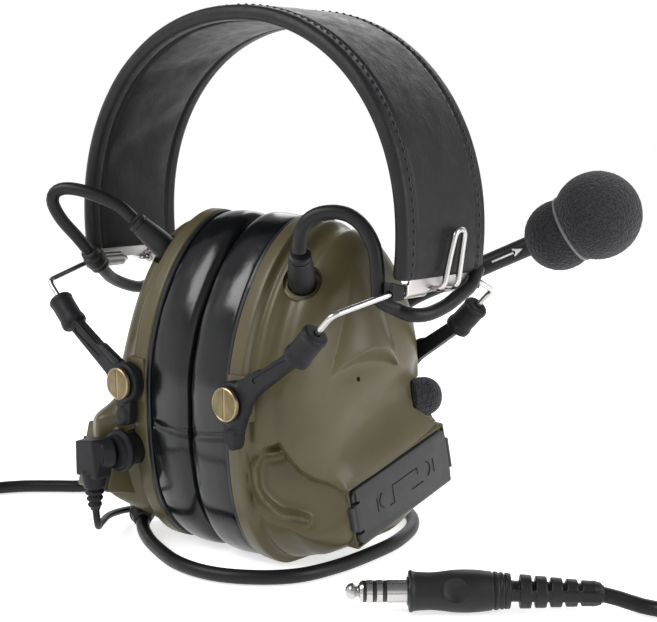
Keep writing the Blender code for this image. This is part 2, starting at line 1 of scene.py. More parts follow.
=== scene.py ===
"""Looks of the radio headset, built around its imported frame.

Shapes are worked out in millimetres from the point of the floor midway between the two ear
cushions (X from ear to ear, +Y the wearer's front, +Z up), and turned into metres of the frame
when a mesh is made.  Most pieces are made once for the wearer's right and mirrored for the left.
"""
import math

import bmesh
import bpy
import numpy as np
from mathutils import Matrix, Vector, noise


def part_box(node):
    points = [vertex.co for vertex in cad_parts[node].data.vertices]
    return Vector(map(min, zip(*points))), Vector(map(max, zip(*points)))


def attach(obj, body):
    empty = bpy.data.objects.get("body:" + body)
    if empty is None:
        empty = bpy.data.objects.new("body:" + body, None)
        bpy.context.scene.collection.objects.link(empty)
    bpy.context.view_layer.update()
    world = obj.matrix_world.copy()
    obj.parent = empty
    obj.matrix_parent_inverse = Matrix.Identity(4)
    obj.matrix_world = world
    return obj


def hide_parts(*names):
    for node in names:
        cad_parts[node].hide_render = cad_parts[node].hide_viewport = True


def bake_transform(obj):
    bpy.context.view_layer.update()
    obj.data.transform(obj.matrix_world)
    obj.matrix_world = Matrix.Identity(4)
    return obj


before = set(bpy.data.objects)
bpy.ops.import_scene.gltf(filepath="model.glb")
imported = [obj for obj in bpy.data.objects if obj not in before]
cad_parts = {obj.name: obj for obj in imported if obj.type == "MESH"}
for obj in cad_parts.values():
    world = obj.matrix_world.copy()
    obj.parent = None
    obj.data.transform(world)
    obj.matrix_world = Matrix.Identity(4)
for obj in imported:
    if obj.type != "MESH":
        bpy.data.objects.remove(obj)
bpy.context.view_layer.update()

MM = 0.001
SIDES = {"right": 1, "left": -1}
ORIGIN = (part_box("ear_cushion_left")[0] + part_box("ear_cushion_right")[1]) / 2
ORIGIN.z = 0.0


def mm_box(node):
    """A node's lowest and highest corners, in the script's millimetres."""
    return [(np.array(corner) - np.array(ORIGIN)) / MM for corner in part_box(node)]


# ---------------------------------------------------------------- camera and stage

CAMERA_PLACE = (335.6, -347.4, 153.6)
CAMERA_RIGHT = (0.7520, 0.6592, 0.0)
CAMERA_BACK = (0.6527, -0.7446, 0.1397)
CAMERA_LENS = 73.2
# Lights: place, target, size in metres, power in watts.
LIGHTS = {"left_light": ((-300, -680, 800), (0, 0, 90), (0.8, 0.45), 8),
          "right_light": ((900, 160, 420), (40, 0, 90), (0.4, 0.7), 5),
          "back_light": ((-300, 800, 600), (0, 0, 100), (0.9, 0.4), 3)}


def frame_point(point):
    return ORIGIN + Vector(point) * MM


def placed(name, data):
    """A new object in the scene."""
    obj = bpy.data.objects.new(name, data)
    bpy.context.scene.collection.objects.link(obj)
    return obj


def make_camera():
    data = bpy.data.cameras.new("camera")
    data.lens = CAMERA_LENS
    data.sensor_width = 36
    data.clip_start = 0.01
    camera = placed("camera", data)
    right, back = Vector(CAMERA_RIGHT).normalized(), Vector(CAMERA_BACK).normalized()
    turn = Matrix((right, back.cross(right), back)).transposed().to_4x4()
    camera.matrix_world = Matrix.Translation(frame_point(CAMERA_PLACE)) @ turn
    bpy.context.scene.camera = camera


def area_light(name, place, target, size, power):
    data = bpy.data.lights.new(name, "AREA")
    data.shape = "RECTANGLE"
    data.size, data.size_y = size
    data.energy = power
    light = placed(name, data)
    light.location = frame_point(place)
    way = frame_point(target) - light.location
    light.rotation_euler = way.to_track_quat("-Z", "Y").to_euler()


def make_floor():
    bm = bmesh.new()
    bmesh.ops.create_grid(bm, x_segments=2, y_segments=2, size=6)
    mesh = bpy.data.meshes.new("floor")
    bm.to_mesh(mesh)
    bm.free()
    floor = placed("floor", mesh)
    pale = new_material("pale_floor")
    skin = shader(pale)
    skin.inputs["Base Color"].default_value = (0.92, 0.92, 0.92, 1)
    skin.inputs["Roughness"].default_value = 0.9
    skin.inputs["Emission Color"].default_value = (1, 1, 1, 1)
    skin.inputs["Emission Strength"].default_value = 0.65
    mesh.materials.append(pale)


def make_world():
    """A studio that is white low down and grey overhead, with three soft lights."""
    world = bpy.data.worlds.new("studio")
    bpy.context.scene.world = world
    world.use_nodes = True
    sky = world.node_tree.nodes["Background"]
    sky.inputs["Strength"].default_value = 1.0
    way = node(world, "ShaderNodeTexCoord")
    parts = node(world, "ShaderNodeSeparateXYZ")
    world.node_tree.links.new(way.outputs["Generated"], parts.inputs["Vector"])
    shade = ramp(world, parts.outputs["Z"], [(0.22, (1, 1, 1, 1)), (0.5, (0.35, 0.35, 0.36, 1)),
                                             (1.0, (0.22, 0.22, 0.23, 1))])
    world.node_tree.links.new(shade, sky.inputs["Color"])
    for name, settings in LIGHTS.items():
        area_light(name, *settings)
    bpy.context.scene.view_settings.view_transform = "Standard"


# ---------------------------------------------------------------- materials

def new_material(name):
    made = bpy.data.materials.new(name)
    made.use_nodes = True
    return made


def shader(made):
    return made.node_tree.nodes["Principled BSDF"]


def node(made, kind, **values):
    new = made.node_tree.nodes.new(kind)
    for key, value in values.items():
        if key in new.inputs:
            new.inputs[key].default_value = value
        else:
            setattr(new, key, value)
    return new


def texture_at(made, kind, **values):
    """The outputs of a texture in the object's own space; Scale counts cells to the metre."""
    place = node(made, "ShaderNodeTexCoord")
    texture = node(made, kind, **values)
    made.node_tree.links.new(place.outputs["Object"], texture.inputs["Vector"])
    return texture.outputs


def noise_at(made, scale, detail):
    return texture_at(made, "ShaderNodeTexNoise", Scale=scale, Detail=detail)["Fac"]


def pebbles_at(made, scale):
    return texture_at(made, "ShaderNodeTexVoronoi", Scale=scale)["Distance"]


def ramp(made, source, stops):
    new = node(made, "ShaderNodeValToRGB")
    new.color_ramp.elements[0].position, new.color_ramp.elements[0].color = stops[0]
    new.color_ramp.elements[1].position, new.color_ramp.elements[1].color = stops[-1]
    for place, colour in stops[1:-1]:
        new.color_ramp.elements.new(place).color = colour
    made.node_tree.links.new(source, new.inputs["Fac"])
    return new.outputs["Color"]


def grey_range(made, source, low, high):
    """Noise, which stays mostly between 0.3 and 0.7, spread over a range of greys."""
    new = node(made, "ShaderNodeMapRange")
    for name, value in {"From Min": 0.3, "From Max": 0.7, "To Min": low, "To Max": high}.items():
        new.inputs[name].default_value = value
    made.node_tree.links.new(source, new.inputs["Value"])
    return new.outputs["Result"]


def bump(made, source, distance, strength=1.0, before=None):
    new = node(made, "ShaderNodeBump", Distance=distance, Strength=strength)
    made.node_tree.links.new(source, new.inputs["Height"])
    if before:
        made.node_tree.links.new(before, new.inputs["Normal"])
    return new.outputs["Normal"]


def tint(colour, share):
    return (*[min(1.0, c * share) for c in colour], 1)


def surface(name, colour, rough, grain, metallic=0.0, patches=60.0, spread=0.12,
            specular=0.5):
    """A finish with mottled colour and roughness and a fine grain.

    grain is (cells to the metre, height in metres, strength); rough is (low, high).
    """
    made = new_material(name)
    skin = shader(made)
    links = made.node_tree.links
    mottle = noise_at(made, patches, 4.0)
    links.new(ramp(made, mottle, [(0.3, tint(colour, 1 - spread)), (0.7, tint(colour, 1 + spread))]),
              skin.inputs["Base Color"])
    wear = noise_at(made, patches * 3.1, 5.0)
    links.new(grey_range(made, wear, *rough), skin.inputs["Roughness"])
    cells, height, strength = grain
    links.new(bump(made, noise_at(made, cells, 2.0), height, strength), skin.inputs["Normal"])
    skin.inputs["Metallic"].default_value = metallic
    skin.inputs["Specular IOR Level"].default_value = specular
    return made


def leather(name, colour, rough):
    """Grained synthetic leather: pebbles from cells, over a slow unevenness."""
    made = new_material(name)
    skin = shader(made)
    links = made.node_tree.links
    slow = bump(made, noise_at(made, 120, 4.0), 0.0006, 0.6)
    fine = bump(made, pebbles_at(made, 1500.0), 0.00012, 0.35, slow)
    links.new(fine, skin.inputs["Normal"])
    mottle = noise_at(made, 90, 5.0)
    links.new(ramp(made, mottle, [(0.3, tint(colour, 0.8)), (0.7, tint(colour, 1.25))]),
              skin.inputs["Base Color"])
    links.new(grey_range(made, noise_at(made, 260, 4.0), *rough), skin.inputs["Roughness"])
    skin.inputs["Specular IOR Level"].default_value = 0.24
    return made


def foam_material(name, colour):
    """Open foam: dark pores from cells, over a coarse grain."""
    made = new_material(name)
    skin = shader(made)
    links = made.node_tree.links
    pores = pebbles_at(made, 1100.0)
    links.new(ramp(made, pores, [(0.1, tint(colour, 0.45)), (0.6, tint(colour, 1.6))]),
              skin.inputs["Base Color"])
    grain = bump(made, noise_at(made, 900, 4.0), 0.0005, 0.8)
    links.new(bump(made, pores, 0.0005, 0.9, grain), skin.inputs["Normal"])
    skin.inputs["Roughness"].default_value = 0.95
    skin.inputs["Specular IOR Level"].default_value = 0.2
    skin.inputs["Sheen Weight"].default_value = 0.15
    return made


def make_materials():
    return {
        "olive": surface("olive_plastic", (0.072, 0.061, 0.03), (0.3, 0.4),
                         (1800, 0.00008, 0.25), spread=0.1, specular=0.3),
        "black": surface("black_plastic", (0.008, 0.0083, 0.0095), (0.4, 0.52),
                         (2600, 0.00008, 0.35), specular=0.2),
        "door": surface("door_plastic", (0.022, 0.0225, 0.024), (0.42, 0.54),
                        (1800, 0.0001, 0.4), specular=0.4),
        "gloss": surface("gloss_black", (0.008, 0.008, 0.009), (0.22, 0.32),
                         (900, 0.00006, 0.15)),
        "vinyl": surface("cushion_vinyl", (0.004, 0.0043, 0.005), (0.14, 0.26),
                         (220, 0.00025, 0.25), patches=35, specular=0.42),
        "rim": surface("rim_plastic", (0.008, 0.01, 0.014), (0.3, 0.4), (1500, 0.00006, 0.2),
                       specular=0.35),
        "leather": leather("band_leather", (0.0082, 0.0082, 0.0092), (0.4, 0.54)),
        "thread": surface("dark_thread", (0.02, 0.02, 0.021), (0.6, 0.7), (4000, 0.0001, 0.5)),
        "cable": surface("cable_jacket", (0.006, 0.006, 0.0065), (0.36, 0.46),
                         (1600, 0.00006, 0.25), specular=0.25),
        "rubber": surface("black_rubber", (0.009, 0.009, 0.0095), (0.4, 0.52),
                          (1900, 0.00008, 0.35), specular=0.3),
        "foam": foam_material("charcoal_foam", (0.0165, 0.0165, 0.0185)),
        "steel": surface("nickel_steel", (0.5, 0.49, 0.48), (0.14, 0.24), (700, 0.00003, 0.2),
                         metallic=1.0, spread=0.05),
        "satin_steel": surface("satin_steel", (0.56, 0.53, 0.52), (0.32, 0.42),
                               (900, 0.00004, 0.3), metallic=1.0, spread=0.05),
        "brass": surface("aged_brass", (0.17, 0.135, 0.07), (0.34, 0.46), (1500, 0.00005, 0.3),
                         metallic=0.85, patches=300, spread=0.2),
        # Lighter brass that paints the highlights in the screws' slots and round their rims.
        "painted_highlight_brass": surface("painted_highlight_brass", (0.3, 0.25, 0.15), (0.3, 0.4),
                                (1500, 0.00004, 0.2), metallic=1.0),
        "white": surface("white_print", (0.75, 0.75, 0.75), (0.5, 0.6), (1500, 0.00003, 0.1)),
        "grey": surface("grey_rubber", (0.16, 0.16, 0.165), (0.45, 0.55), (1500, 0.00004, 0.2)),
        "board": surface("green_board", (0.02, 0.12, 0.05), (0.35, 0.5), (900, 0.00006, 0.3)),
        "cell": surface("battery_can", (0.3, 0.3, 0.32), (0.3, 0.4), (900, 0.00004, 0.2),
                        metallic=0.7),
    }


# ---------------------------------------------------------------- shape helpers

def add_piece(name, mesh, look, body, stands_for=(), sharp=None, side=1):
    """Put a mesh in millimetres into the frame, with its material and body, hiding the parts it
    stands for.
    """
    turn = Matrix.Diagonal((side * MM, MM, MM, 1))
    mesh.transform(Matrix.Translation(ORIGIN) @ turn)
    if side < 0:
        mesh.flip_normals()
    mesh.materials.clear()
    mesh.materials.append(LOOKS[look])
    mesh.shade_smooth()
    if sharp:
        mesh.set_sharp_from_angle(angle=math.radians(sharp))
    obj = placed(name, mesh)
    if body:
        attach(obj, body)
    if stands_for:
        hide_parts(*stands_for)
    return obj


def mesh_of(points, faces):
    mesh = bpy.data.meshes.new("shape")
    mesh.from_pydata([tuple(p) for p in points], [], faces)
    bm = bmesh.new()
    bm.from_mesh(mesh)
    bmesh.ops.recalc_face_normals(bm, faces=bm.faces)
    bm.to_mesh(mesh)
    bm.free()
    return mesh


def join(*shapes):
    """Several (points, faces) shapes as one."""
    points, faces = [], []
    for some_points, some_faces in shapes:
        start = len(points)
        points += [tuple(p) for p in some_points]
        faces += [tuple(i + start for i in face) for face in some_faces]
    return points, faces


def ring_faces(rows, count, wrap=False, ends=True):
    """Quads over rows of count points each; wrap joins the last row to the first."""
    faces = []
    pairs = [(r, r + 1) for r in range(rows - 1)] + ([(rows - 1, 0)] if wrap else [])
    for low, high in pairs:
        for i in range(count):
            j = (i + 1) % count
            faces.append((low * count + i, low * count + j, high * count + j, high * count + i))
    if ends and not wrap:
        faces.append(tuple(range(count - 1, -1, -1)))
        faces.append(tuple((rows - 1) * count + i for i in range(count)))
    return faces


def loft(rings, wrap=False):
    rings = np.asarray(rings, float)
    return rings.reshape(-1, 3), ring_faces(len(rings), rings.shape[1], wrap)


def circle(centre, first, second, radius, sides):
    """Points round a centre, in the plane of two directions."""
    angles = [2 * math.pi * k / sides for k in range(sides)]
    return [centre + radius * (first * math.cos(a) + second * math.sin(a)) for a in angles]


def shape_of(bm):
    """A bmesh as (points, faces); the bmesh is freed."""
    bm.verts.index_update()
    shape = ([v.co.copy() for v in bm.verts], [tuple(v.index for v in f.verts) for f in bm.faces])
    bm.free()
    return shape


def smooth_route(points, step):
    """Points every step along a smooth curve through the given points (Catmull-Rom)."""
    knots = [Vector(p) for p in points]
    knots = [2 * knots[0] - knots[1]] + knots + [2 * knots[-1] - knots[-2]]
    route = [knots[1]]
    for a, b, c, d in zip(knots, knots[1:], knots[2:], knots[3:]):
        pieces = max(1, round((c - b).length / step))
        for i in range(1, pieces + 1):
            t = i / pieces
            route.append(0.5 * (2 * b + (c - a) * t + (2 * a - 5 * b + 4 * c - d) * t ** 2
                                + (3 * b - a - 3 * c + d) * t ** 3))
    return route


def rounded_route(points, radius, steps=6):
    """Straight runs with each corner rounded off."""
    knots = [Vector(p) for p in points]
    route = [knots[0]]
    for before, corner, after in zip(knots, knots[1:], knots[2:]):
        start = corner + (before - corner).normalized() * min(radius, (before - corner).length / 2)
        end = corner + (after - corner).normalized() * min(radius, (after - corner).length / 2)
        for i in range(steps + 1):
            t = i / steps
            route.append((1 - t) ** 2 * start + 2 * t * (1 - t) * corner + t ** 2 * end)
    return route + [knots[-1]]


def sweep(route, radii, sides=20):
    """A tube along a route; radii is one number or one for each point."""
    route = [Vector(p) for p in route]
    if not hasattr(radii, "__len__"):
        radii = [radii] * len(route)
    ways = []
    for i in range(len(route)):
        ways.append((route[min(i + 1, len(route) - 1)] - route[max(i - 1, 0)]).normalized())
    across = ways[0].orthogonal().normalized()
    rings = []
    for point, way, radius in zip(route, ways, radii):
        across = (across - way * across.dot(way)).normalized()
        rings.append(circle(point, across, way.cross(across), radius, sides))
    return loft(rings)


def turned(start, end, outline, sides=48):
    """A turned solid: (distance, radius) pairs along the line from start towards end."""
    start, end = Vector(start), Vector(end)
    way = (end - start).normalized()
    route = [start + way * distance for distance, _ in outline]
    turn = way.to_track_quat("Z", "Y").to_matrix()
    rings = []
    for place, (_, radius) in zip(route, outline):
        rings.append([place + turn @ Vector((radius * math.cos(2 * math.pi * i / sides),
                                             radius * math.sin(2 * math.pi * i / sides), 0))
                      for i in range(sides)])
    return loft(rings)


def rod(start, end, radius, end_radius=None, edge=0.0, sides=40):
    """A rod with its two edges rounded off."""
    length = (Vector(end) - Vector(start)).length
    last = radius if end_radius is None else end_radius
    if not edge:
        return turned(start, end, [(0, radius), (length, last)], sides)
    outline = []
    for k in range(5):
        angle = math.pi / 2 * k / 4
        outline.append((edge * (1 - math.sin(angle)), radius - edge * (1 - math.cos(angle))))
    outline = outline[::-1]
    finish = [(length - d, last - radius + r) for d, r in outline[::-1]]
    return turned(start, end, outline + finish, sides)


def block(low, high, edge=0.0, segments=3, turn=None, place=(0, 0, 0)):
    """A box with rounded edges, turned by a matrix and moved to its place."""
    bm = bmesh.new()
    bmesh.ops.create_cube(bm, size=1)
    low, high = Vector(low), Vector(high)
    bmesh.ops.scale(bm, vec=high - low, verts=bm.verts)
    bmesh.ops.translate(bm, vec=(high + low) / 2, verts=bm.verts)
    if edge:
        bmesh.ops.bevel(bm, geom=bm.edges[:] + bm.verts[:], offset=edge, segments=segments,
                        profile=0.5, affect="EDGES")
    if turn:
        bmesh.ops.rotate(bm, matrix=turn, verts=bm.verts)
    bmesh.ops.translate(bm, vec=place, verts=bm.verts)
    return shape_of(bm)


def hull(points):
    """The smallest bulging shape round some points."""
    bm = bmesh.new()
    for p in points:
        bm.verts.new(p)
    done = bmesh.ops.convex_hull(bm, input=bm.verts)
    spare = {v for v in done["geom_interior"] if isinstance(v, bmesh.types.BMVert)}
    bmesh.ops.delete(bm, geom=list(spare), context="VERTS")
    return shape_of(bm)


def limb(first, second, faces):
    """The hull of two circles (x, z, radius) in the X-Z plane, between two Y faces."""
    points = []
    for x, z, radius in (first, second):
        for i in range(24):
            angle = 2 * math.pi * i / 24
            for y in faces:
                points.append((x + radius * math.cos(angle), y, z + radius * math.sin(angle)))
    return hull(points)


def changed(mesh, kind, **settings):
    """The mesh after one modifier."""
    obj = placed("change", mesh)
    change = obj.modifiers.new("change", kind)
    for key, value in settings.items():
        setattr(change, key, value)
    bpy.context.view_layer.update()
    done = obj.evaluated_get(bpy.context.evaluated_depsgraph_get())
    result = bpy.data.meshes.new_from_object(done)
    bpy.data.objects.remove(obj)
    return result


def cut(mesh, shape, operation="DIFFERENCE"):
    tool = placed("tool", mesh_of(*shape))
    result = changed(mesh, "BOOLEAN", operation=operation, object=tool)
    bpy.data.objects.remove(tool)
    return result


def moulded(shape, voxel, smoothing):
    """Overlapping closed shapes melted into one skin with softened edges."""
    mesh = changed(mesh_of(*shape), "REMESH", mode="VOXEL", voxel_size=voxel)
    return changed(mesh, "SMOOTH", factor=0.5, iterations=smoothing)


def distance_to_route(points, route):
    """Each point's distance to a route, and how far along the route its nearest place is."""
    best = np.full(len(points), 1e9)
    where = np.zeros(len(points))
    route = np.array([tuple(p) for p in route])
    for i in range(len(route) - 1):
        a, b = route[i], route[i + 1]
        ab = b - a
        t = np.clip(((points - a) @ ab) / (ab @ ab), 0, 1)
        d = np.linalg.norm(points - (a + t[:, None] * ab), axis=1)
        nearer = d < best
        best[nearer] = d[nearer]
        where[nearer] = (i + t[nearer]) / (len(route) - 1)
    return best, where


def smooth_step(x, low, high):
    t = np.clip((x - low) / (high - low), 0, 1)
    return t * t * (3 - 2 * t)


# ---------------------------------------------------------------- cup shells

OUTLINE_COUNT = 432
CUP_HALF_WIDTH = 40.0
CUP_MIDDLE_Z = 60.0
CUP_UPPER = (62.0, 1.75)        # half height and power of the superellipse above the middle
CUP_LOWER = (61.5, 2.9)
LEFT_LEAN_SPAN = 25.0           # the left cup's outer face leans rearwards below its middle
CUP_CREST = 39.3                # inset at which the outline has closed to a line
# Outside skin of a shell: distance from the midplane, inset of the outline, shift along Y.
SHELL_PROFILE = [(20.7, 0.7, 0), (21.1, 0.15, 0), (23.5, 0, 0), (26.3, 0, 0), (27.1, 0.6, 0),
                 (27.5, 2.0, 0.1), (28.4, 2.9, 0.3), (30, 2.7, 0.9), (32, 2.9, 1.7),
                 (36, 4.0, 2.8), (40, 5.0, 3.3), (43.4, 7.2, 3.6), (45.6, 10.6, 4),
                 (46.9, 15, 4), (47.6, 21, 4), (48, 28, 4), (48.2, 34, 4), (48.2, CUP_CREST, 4)]
SHELL_LINING = [(45.2, CUP_CREST, 4), (45, 28, 4), (43.9, 16, 4), (42, 10, 3.6), (38, 7.6, 3),
                (30, 5.6, 1), (28, 5, 0.3), (26.4, 2.7, 0), (21, 2.6, 0), (20.7, 1.4, 0)]
SCREW_AXIS = (27.0, 62.0)
BAY_CENTRE = (17.3, 25.9)
BAY_TILT = math.radians(14.3)
FACET_NORMAL = np.array((0.781, -0.621, 0.06))
FACET_PLACE = np.array((30.0, -35.0, 30.0))
HOOK_ROUTE = [(36.2, -26.3, 45.4), (33.4, -29.6, 44.0), (30.6, -33.6, 43.4), (29.4, -35.4, 39.4),
              (29.3, -35.4, 34.6), (30.3, -34.6, 29.8), (33.3, -31.4, 25.0), (35.9, -28.3, 22.6),
              (38.9, -24.6, 21.6), (40.7, -22.5, 20.5)]
EDGE_ROUTE = [(37.4, -24.4, 46.6), (40.5, -20.7, 42.2), (46.1, -14.3, 34.4), (49.0, -11.6, 30.0)]
FACET_BEND = (37.9, 46.9)       # X and Z at which the flat corner's upper edge bends
BOSS_TOP_Z = 107.0
BOSS_LOW_Z = 75.0
BOSS_HEIGHT = 5.4
SHELL_WALL = 2.6
POCKET_RADIUS = 10.2
FACE_HOLE = (-3.4, 66.8)        # Y and Z
SEAT_SINK = 0.12                # depth of a gland's seat, as a share of its reach
MIC_SOCKET = (-28.6, 37.2)      # X and Z
BUTTON_X = 33
BUTTON_PLACES = [(34.6, 94.0), (37.4, 86.0), (39.4, 78.0)]
TOP_GLANDS = {"right": (37, -20, 101.0), "left": (-37, -14, 107.0)}
GLAND_REACH = (7, -9, 10.7)
FOAM_BASES = {1: (42.0, 36.4, 53.8), -1: (42.0, 32.4, 53.8)}
FOAM_WAY = (0.5, 0.866, 0)


def superellipse(angle, inset):
    """Y and Z round the cup, before its foot is flattened."""
    c, s = np.cos(angle), np.sin(angle)
    half_z = np.where(s > 0, CUP_UPPER[0], CUP_LOWER[0]) - inset
    power = 2 / np.where(s > 0, CUP_UPPER[1], CUP_LOWER[1])
    return ((CUP_HALF_WIDTH - inset) * np.sign(c) * np.abs(c) ** power,
            CUP_MIDDLE_Z + half_z * np.sign(s) * np.abs(s) ** power)


def outline_angles(count):
    """Angles that step evenly round the cup, up its front and down its rear."""
    angle = np.linspace(-np.pi / 2, np.pi / 2, 4001)
    y, z = superellipse(angle, 9.0)
    walked = np.concatenate([[0], np.cumsum(np.hypot(np.diff(y), np.diff(z)))])
    half = count // 2
    front = np.interp((np.arange(half) + 0.5) / half * walked[-1], walked, angle)
    return np.concatenate([front, np.pi - front[::-1]])


def cup_outline(x, inset, shift, count=OUTLINE_COUNT, side=1):
    """The cup's outline at one distance from the midplane, with a softly flattened foot."""
    y, z = superellipse(outline_angles(count), inset)
    z = z - inset
    z = inset + (z + np.sqrt(z * z + 0.3)) / 2
    lean = np.tanh((z - CUP_MIDDLE_Z) / LEFT_LEAN_SPAN * 1.4) if side < 0 else 1
    return np.stack([np.full(count, x), shift * lean + y, z], axis=1)


def cup_rings(profile, step, side=1, count=OUTLINE_COUNT):
    return np.array([cup_outline(*place, count, side) for place in smooth_route(profile, step)])


def grid_normals(rings):
    along = np.gradient(rings, axis=0)
    around = np.roll(rings, -1, 1) - np.roll(rings, 1, 1)
    normals = np.cross(around, along)
    return normals / np.maximum(np.linalg.norm(normals, axis=2, keepdims=True), 1e-9)


def bell(x, width):
    return np.exp(-(x / width) ** 2)


def shelf_height(p):
    """Height of a point above the line where the body meets the battery compartment."""
    return (p[:, 2] - 34.5 - 0.295 * p[:, 1]) * 0.96


def raise_ridges(p, normals):
    """A ridge and a groove side by side, round the upper half behind the flange."""
    x, y, z = p.T
    high = smooth_step(z, 62, 84) * (1 - smooth_step(y, 22, 34))
    ridge, groove = 0.8 * bell(x - 31.2, 1.5), 1.2 * bell(x - 35.2, 2.6)
    p += normals * (high * (ridge - groove))[:, None]


def raise_boss(p, outer):
    """The boss on the outer face: it widens downwards and ends in an arched lip."""
    y, z = p[:, 1], p[:, 2]
    along = np.clip((BOSS_TOP_Z - z) / (BOSS_TOP_Z - BOSS_LOW_Z), 0, 1.3)
    middle, half = -1.4 + 1.8 * along, 3.0 + 13.0 * along
    lip = 78.0 - 0.030 * (y + 0.6) ** 2
    base = 72.0 - 0.010 * (y + 0.6) ** 2
    dome = np.clip(1 - ((y - middle) / half) ** 2, 0, 1)
    ramp_up = np.clip((z - base) / np.maximum(lip - base, 0.7), 0, 1)
    p[:, 0] += BOSS_HEIGHT * along ** 1.1 * dome ** 0.9 * ramp_up ** 1.2 * outer
    p[:, 0] -= 0.9 * bell(z - 70.6, 4.5) * dome * outer


def sweep_out_shelf(p, outer):
    """The body sweeps out to meet the compartment's top, with a hollow above that."""
    y, rise = p[:, 1], shelf_height(p)
    span = smooth_step(y, -20, -8) * (1 - smooth_step(y, 42, 50))
    p[:, 0] += 2.8 * np.where(rise > 0, bell(rise, 7.0), 1.0) * span * outer
    p[:, 0] -= 3.1 * bell(rise - 16, 9) * smooth_step(y, -22, 6) * outer


def fair_front(p):
    """The body's front side runs out to the compartment's front end."""
    x, y, z = p.T
    rise = shelf_height(p)
    share = smooth_step(x, 30, 42) * smooth_step(y, 6, 32) * smooth_step(z, 5, 22)
    share *= 1 - smooth_step(z, 47, 56)
    p[:, 1] += 9.5 * share * np.where(rise > 0, bell(rise, 9.0), 1.0)


def flatten_corner(p, flat, inward):
    """The lower rear corner is cut off flat, up to an edge that bends at one point."""
    x, y, z = p.T
    out = (p - FACET_PLACE) @ flat + inward
    slope = np.where(x > FACET_BEND[0], 1.6, 0.45)
    edge_z = FACET_BEND[1] - slope * np.abs(x - FACET_BEND[0])
    below = 1 - smooth_step(z, edge_z - 0.6, edge_z + 1.8)
    below = below * smooth_step(-y, -6, 4) * smooth_step(x, 27.8, 29.5)
    p -= (flat * ((out + np.sqrt(out * out + 0.35)) / 2)[:, None]) * below[:, None]


def raise_lines(p, flat):
    """The hook-shaped line on the flat corner, and the raised edge of the corner."""
    near = (p[:, 1] < -8) & (p[:, 2] < 50) & (p[:, 0] > 27.8)
    d, where = distance_to_route(p[near], smooth_route(HOOK_ROUTE, 2))
    lift = 2.4 * bell(d, 1.3) * smooth_step(where, -0.02, 0.05) - 0.6 * bell(d - 3.0, 1.3)
    d, _ = distance_to_route(p[near], smooth_route(EDGE_ROUTE, 2))
    lift += 1.9 * bell(d, 1.1)
    p[near] += flat * lift[:, None]


def press_pocket(p, side, inward):
    """A round pocket behind the outside microphone's foam, pressed in along its axis."""
    way = np.array(FOAM_WAY)
    pocket = p - (np.array(FOAM_BASES[side]) + 7.0 * way)
    ahead = pocket @ way
    aside = np.linalg.norm(pocket - ahead[:, None] * way, axis=1)
    room = (POCKET_RADIUS + inward) ** 2 - aside ** 2
    bottom = -np.sqrt(np.maximum(room, 0))
    back = np.where(room > 0, np.minimum(bottom - ahead, 0), 0)
    p += way * back[:, None]


def sculpt_shell(rings, side, inward=0.0):
    """The shell's ridges, boss, shelf and flat corner, as on the wearer's right cup.

    On the left cup everything below the middle is turned round, front to rear.  The lining
    lies inward of the outside and has none of its finer lines.
    """
    p = rings.reshape(-1, 3).copy()
    raise_ridges(p, grid_normals(rings).reshape(-1, 3))
    outer = smooth_step(p[:, 0], 42, 46.5)
    raise_boss(p, outer)
    flat = FACET_NORMAL / np.linalg.norm(FACET_NORMAL)
    p[:, 1] *= side
    sweep_out_shelf(p, outer)
    if inward == 0:
        fair_front(p)
    flatten_corner(p, flat, inward)
    if inward == 0:
        raise_lines(p, flat)
    p[:, 1] *= side
    press_pocket(p, side, inward)
    return p.reshape(rings.shape)


def pair_cap(row, count, flip):
    """Faces across a closed-up ring, from each point to its mirror point."""
    faces = []
    for i in range(count // 2 - 1):
        face = [row * count + k for k in (i, i + 1, count - 2 - i, count - 1 - i)]
        faces.append(tuple(face[::-1] if flip else face))
    return faces


def bay_shape(low, high, edge, side=1):
    """A block in the battery compartment's tilted directions: (x, along, across)."""
    points, faces = block(low, high, edge, 4, Matrix.Rotation(BAY_TILT, 3, "X"),
                          (0, *BAY_CENTRE))
    return [(x, side * y, z) for x, y, z in points], faces


def shell_mesh(side):
    """A shell's outside and lining, closed across the crest and round the rim."""
    outside = sculpt_shell(cup_rings(SHELL_PROFILE, 0.6, side), side)
    lining = sculpt_shell(cup_rings(SHELL_LINING, 3.0, side), side, SHELL_WALL)
    rings = np.concatenate([outside, lining])
    rows = len(rings)
    faces = ring_faces(rows, OUTLINE_COUNT, ends=False)
    crest = len(outside) - 1
    faces = [f for f in faces if not crest * OUTLINE_COUNT <= f[0] < (crest + 1) * OUTLINE_COUNT]
    faces += pair_cap(crest, OUTLINE_COUNT, False) + pair_cap(crest + 1, OUTLINE_COUNT, True)
    last = (rows - 1) * OUTLINE_COUNT
    for j in range(OUTLINE_COUNT):
        k = (j + 1) % OUTLINE_COUNT
        faces.append((k, j, last + j, last + k))
    return mesh_of(rings.reshape(-1, 3), faces)


def gland_line(side_name):
    """Where a top gland enters its shell, and its way and length, before mirroring."""
    foot = Vector(TOP_GLANDS[side_name])
    foot.x = abs(foot.x)
    return foot, Vector(GLAND_REACH)


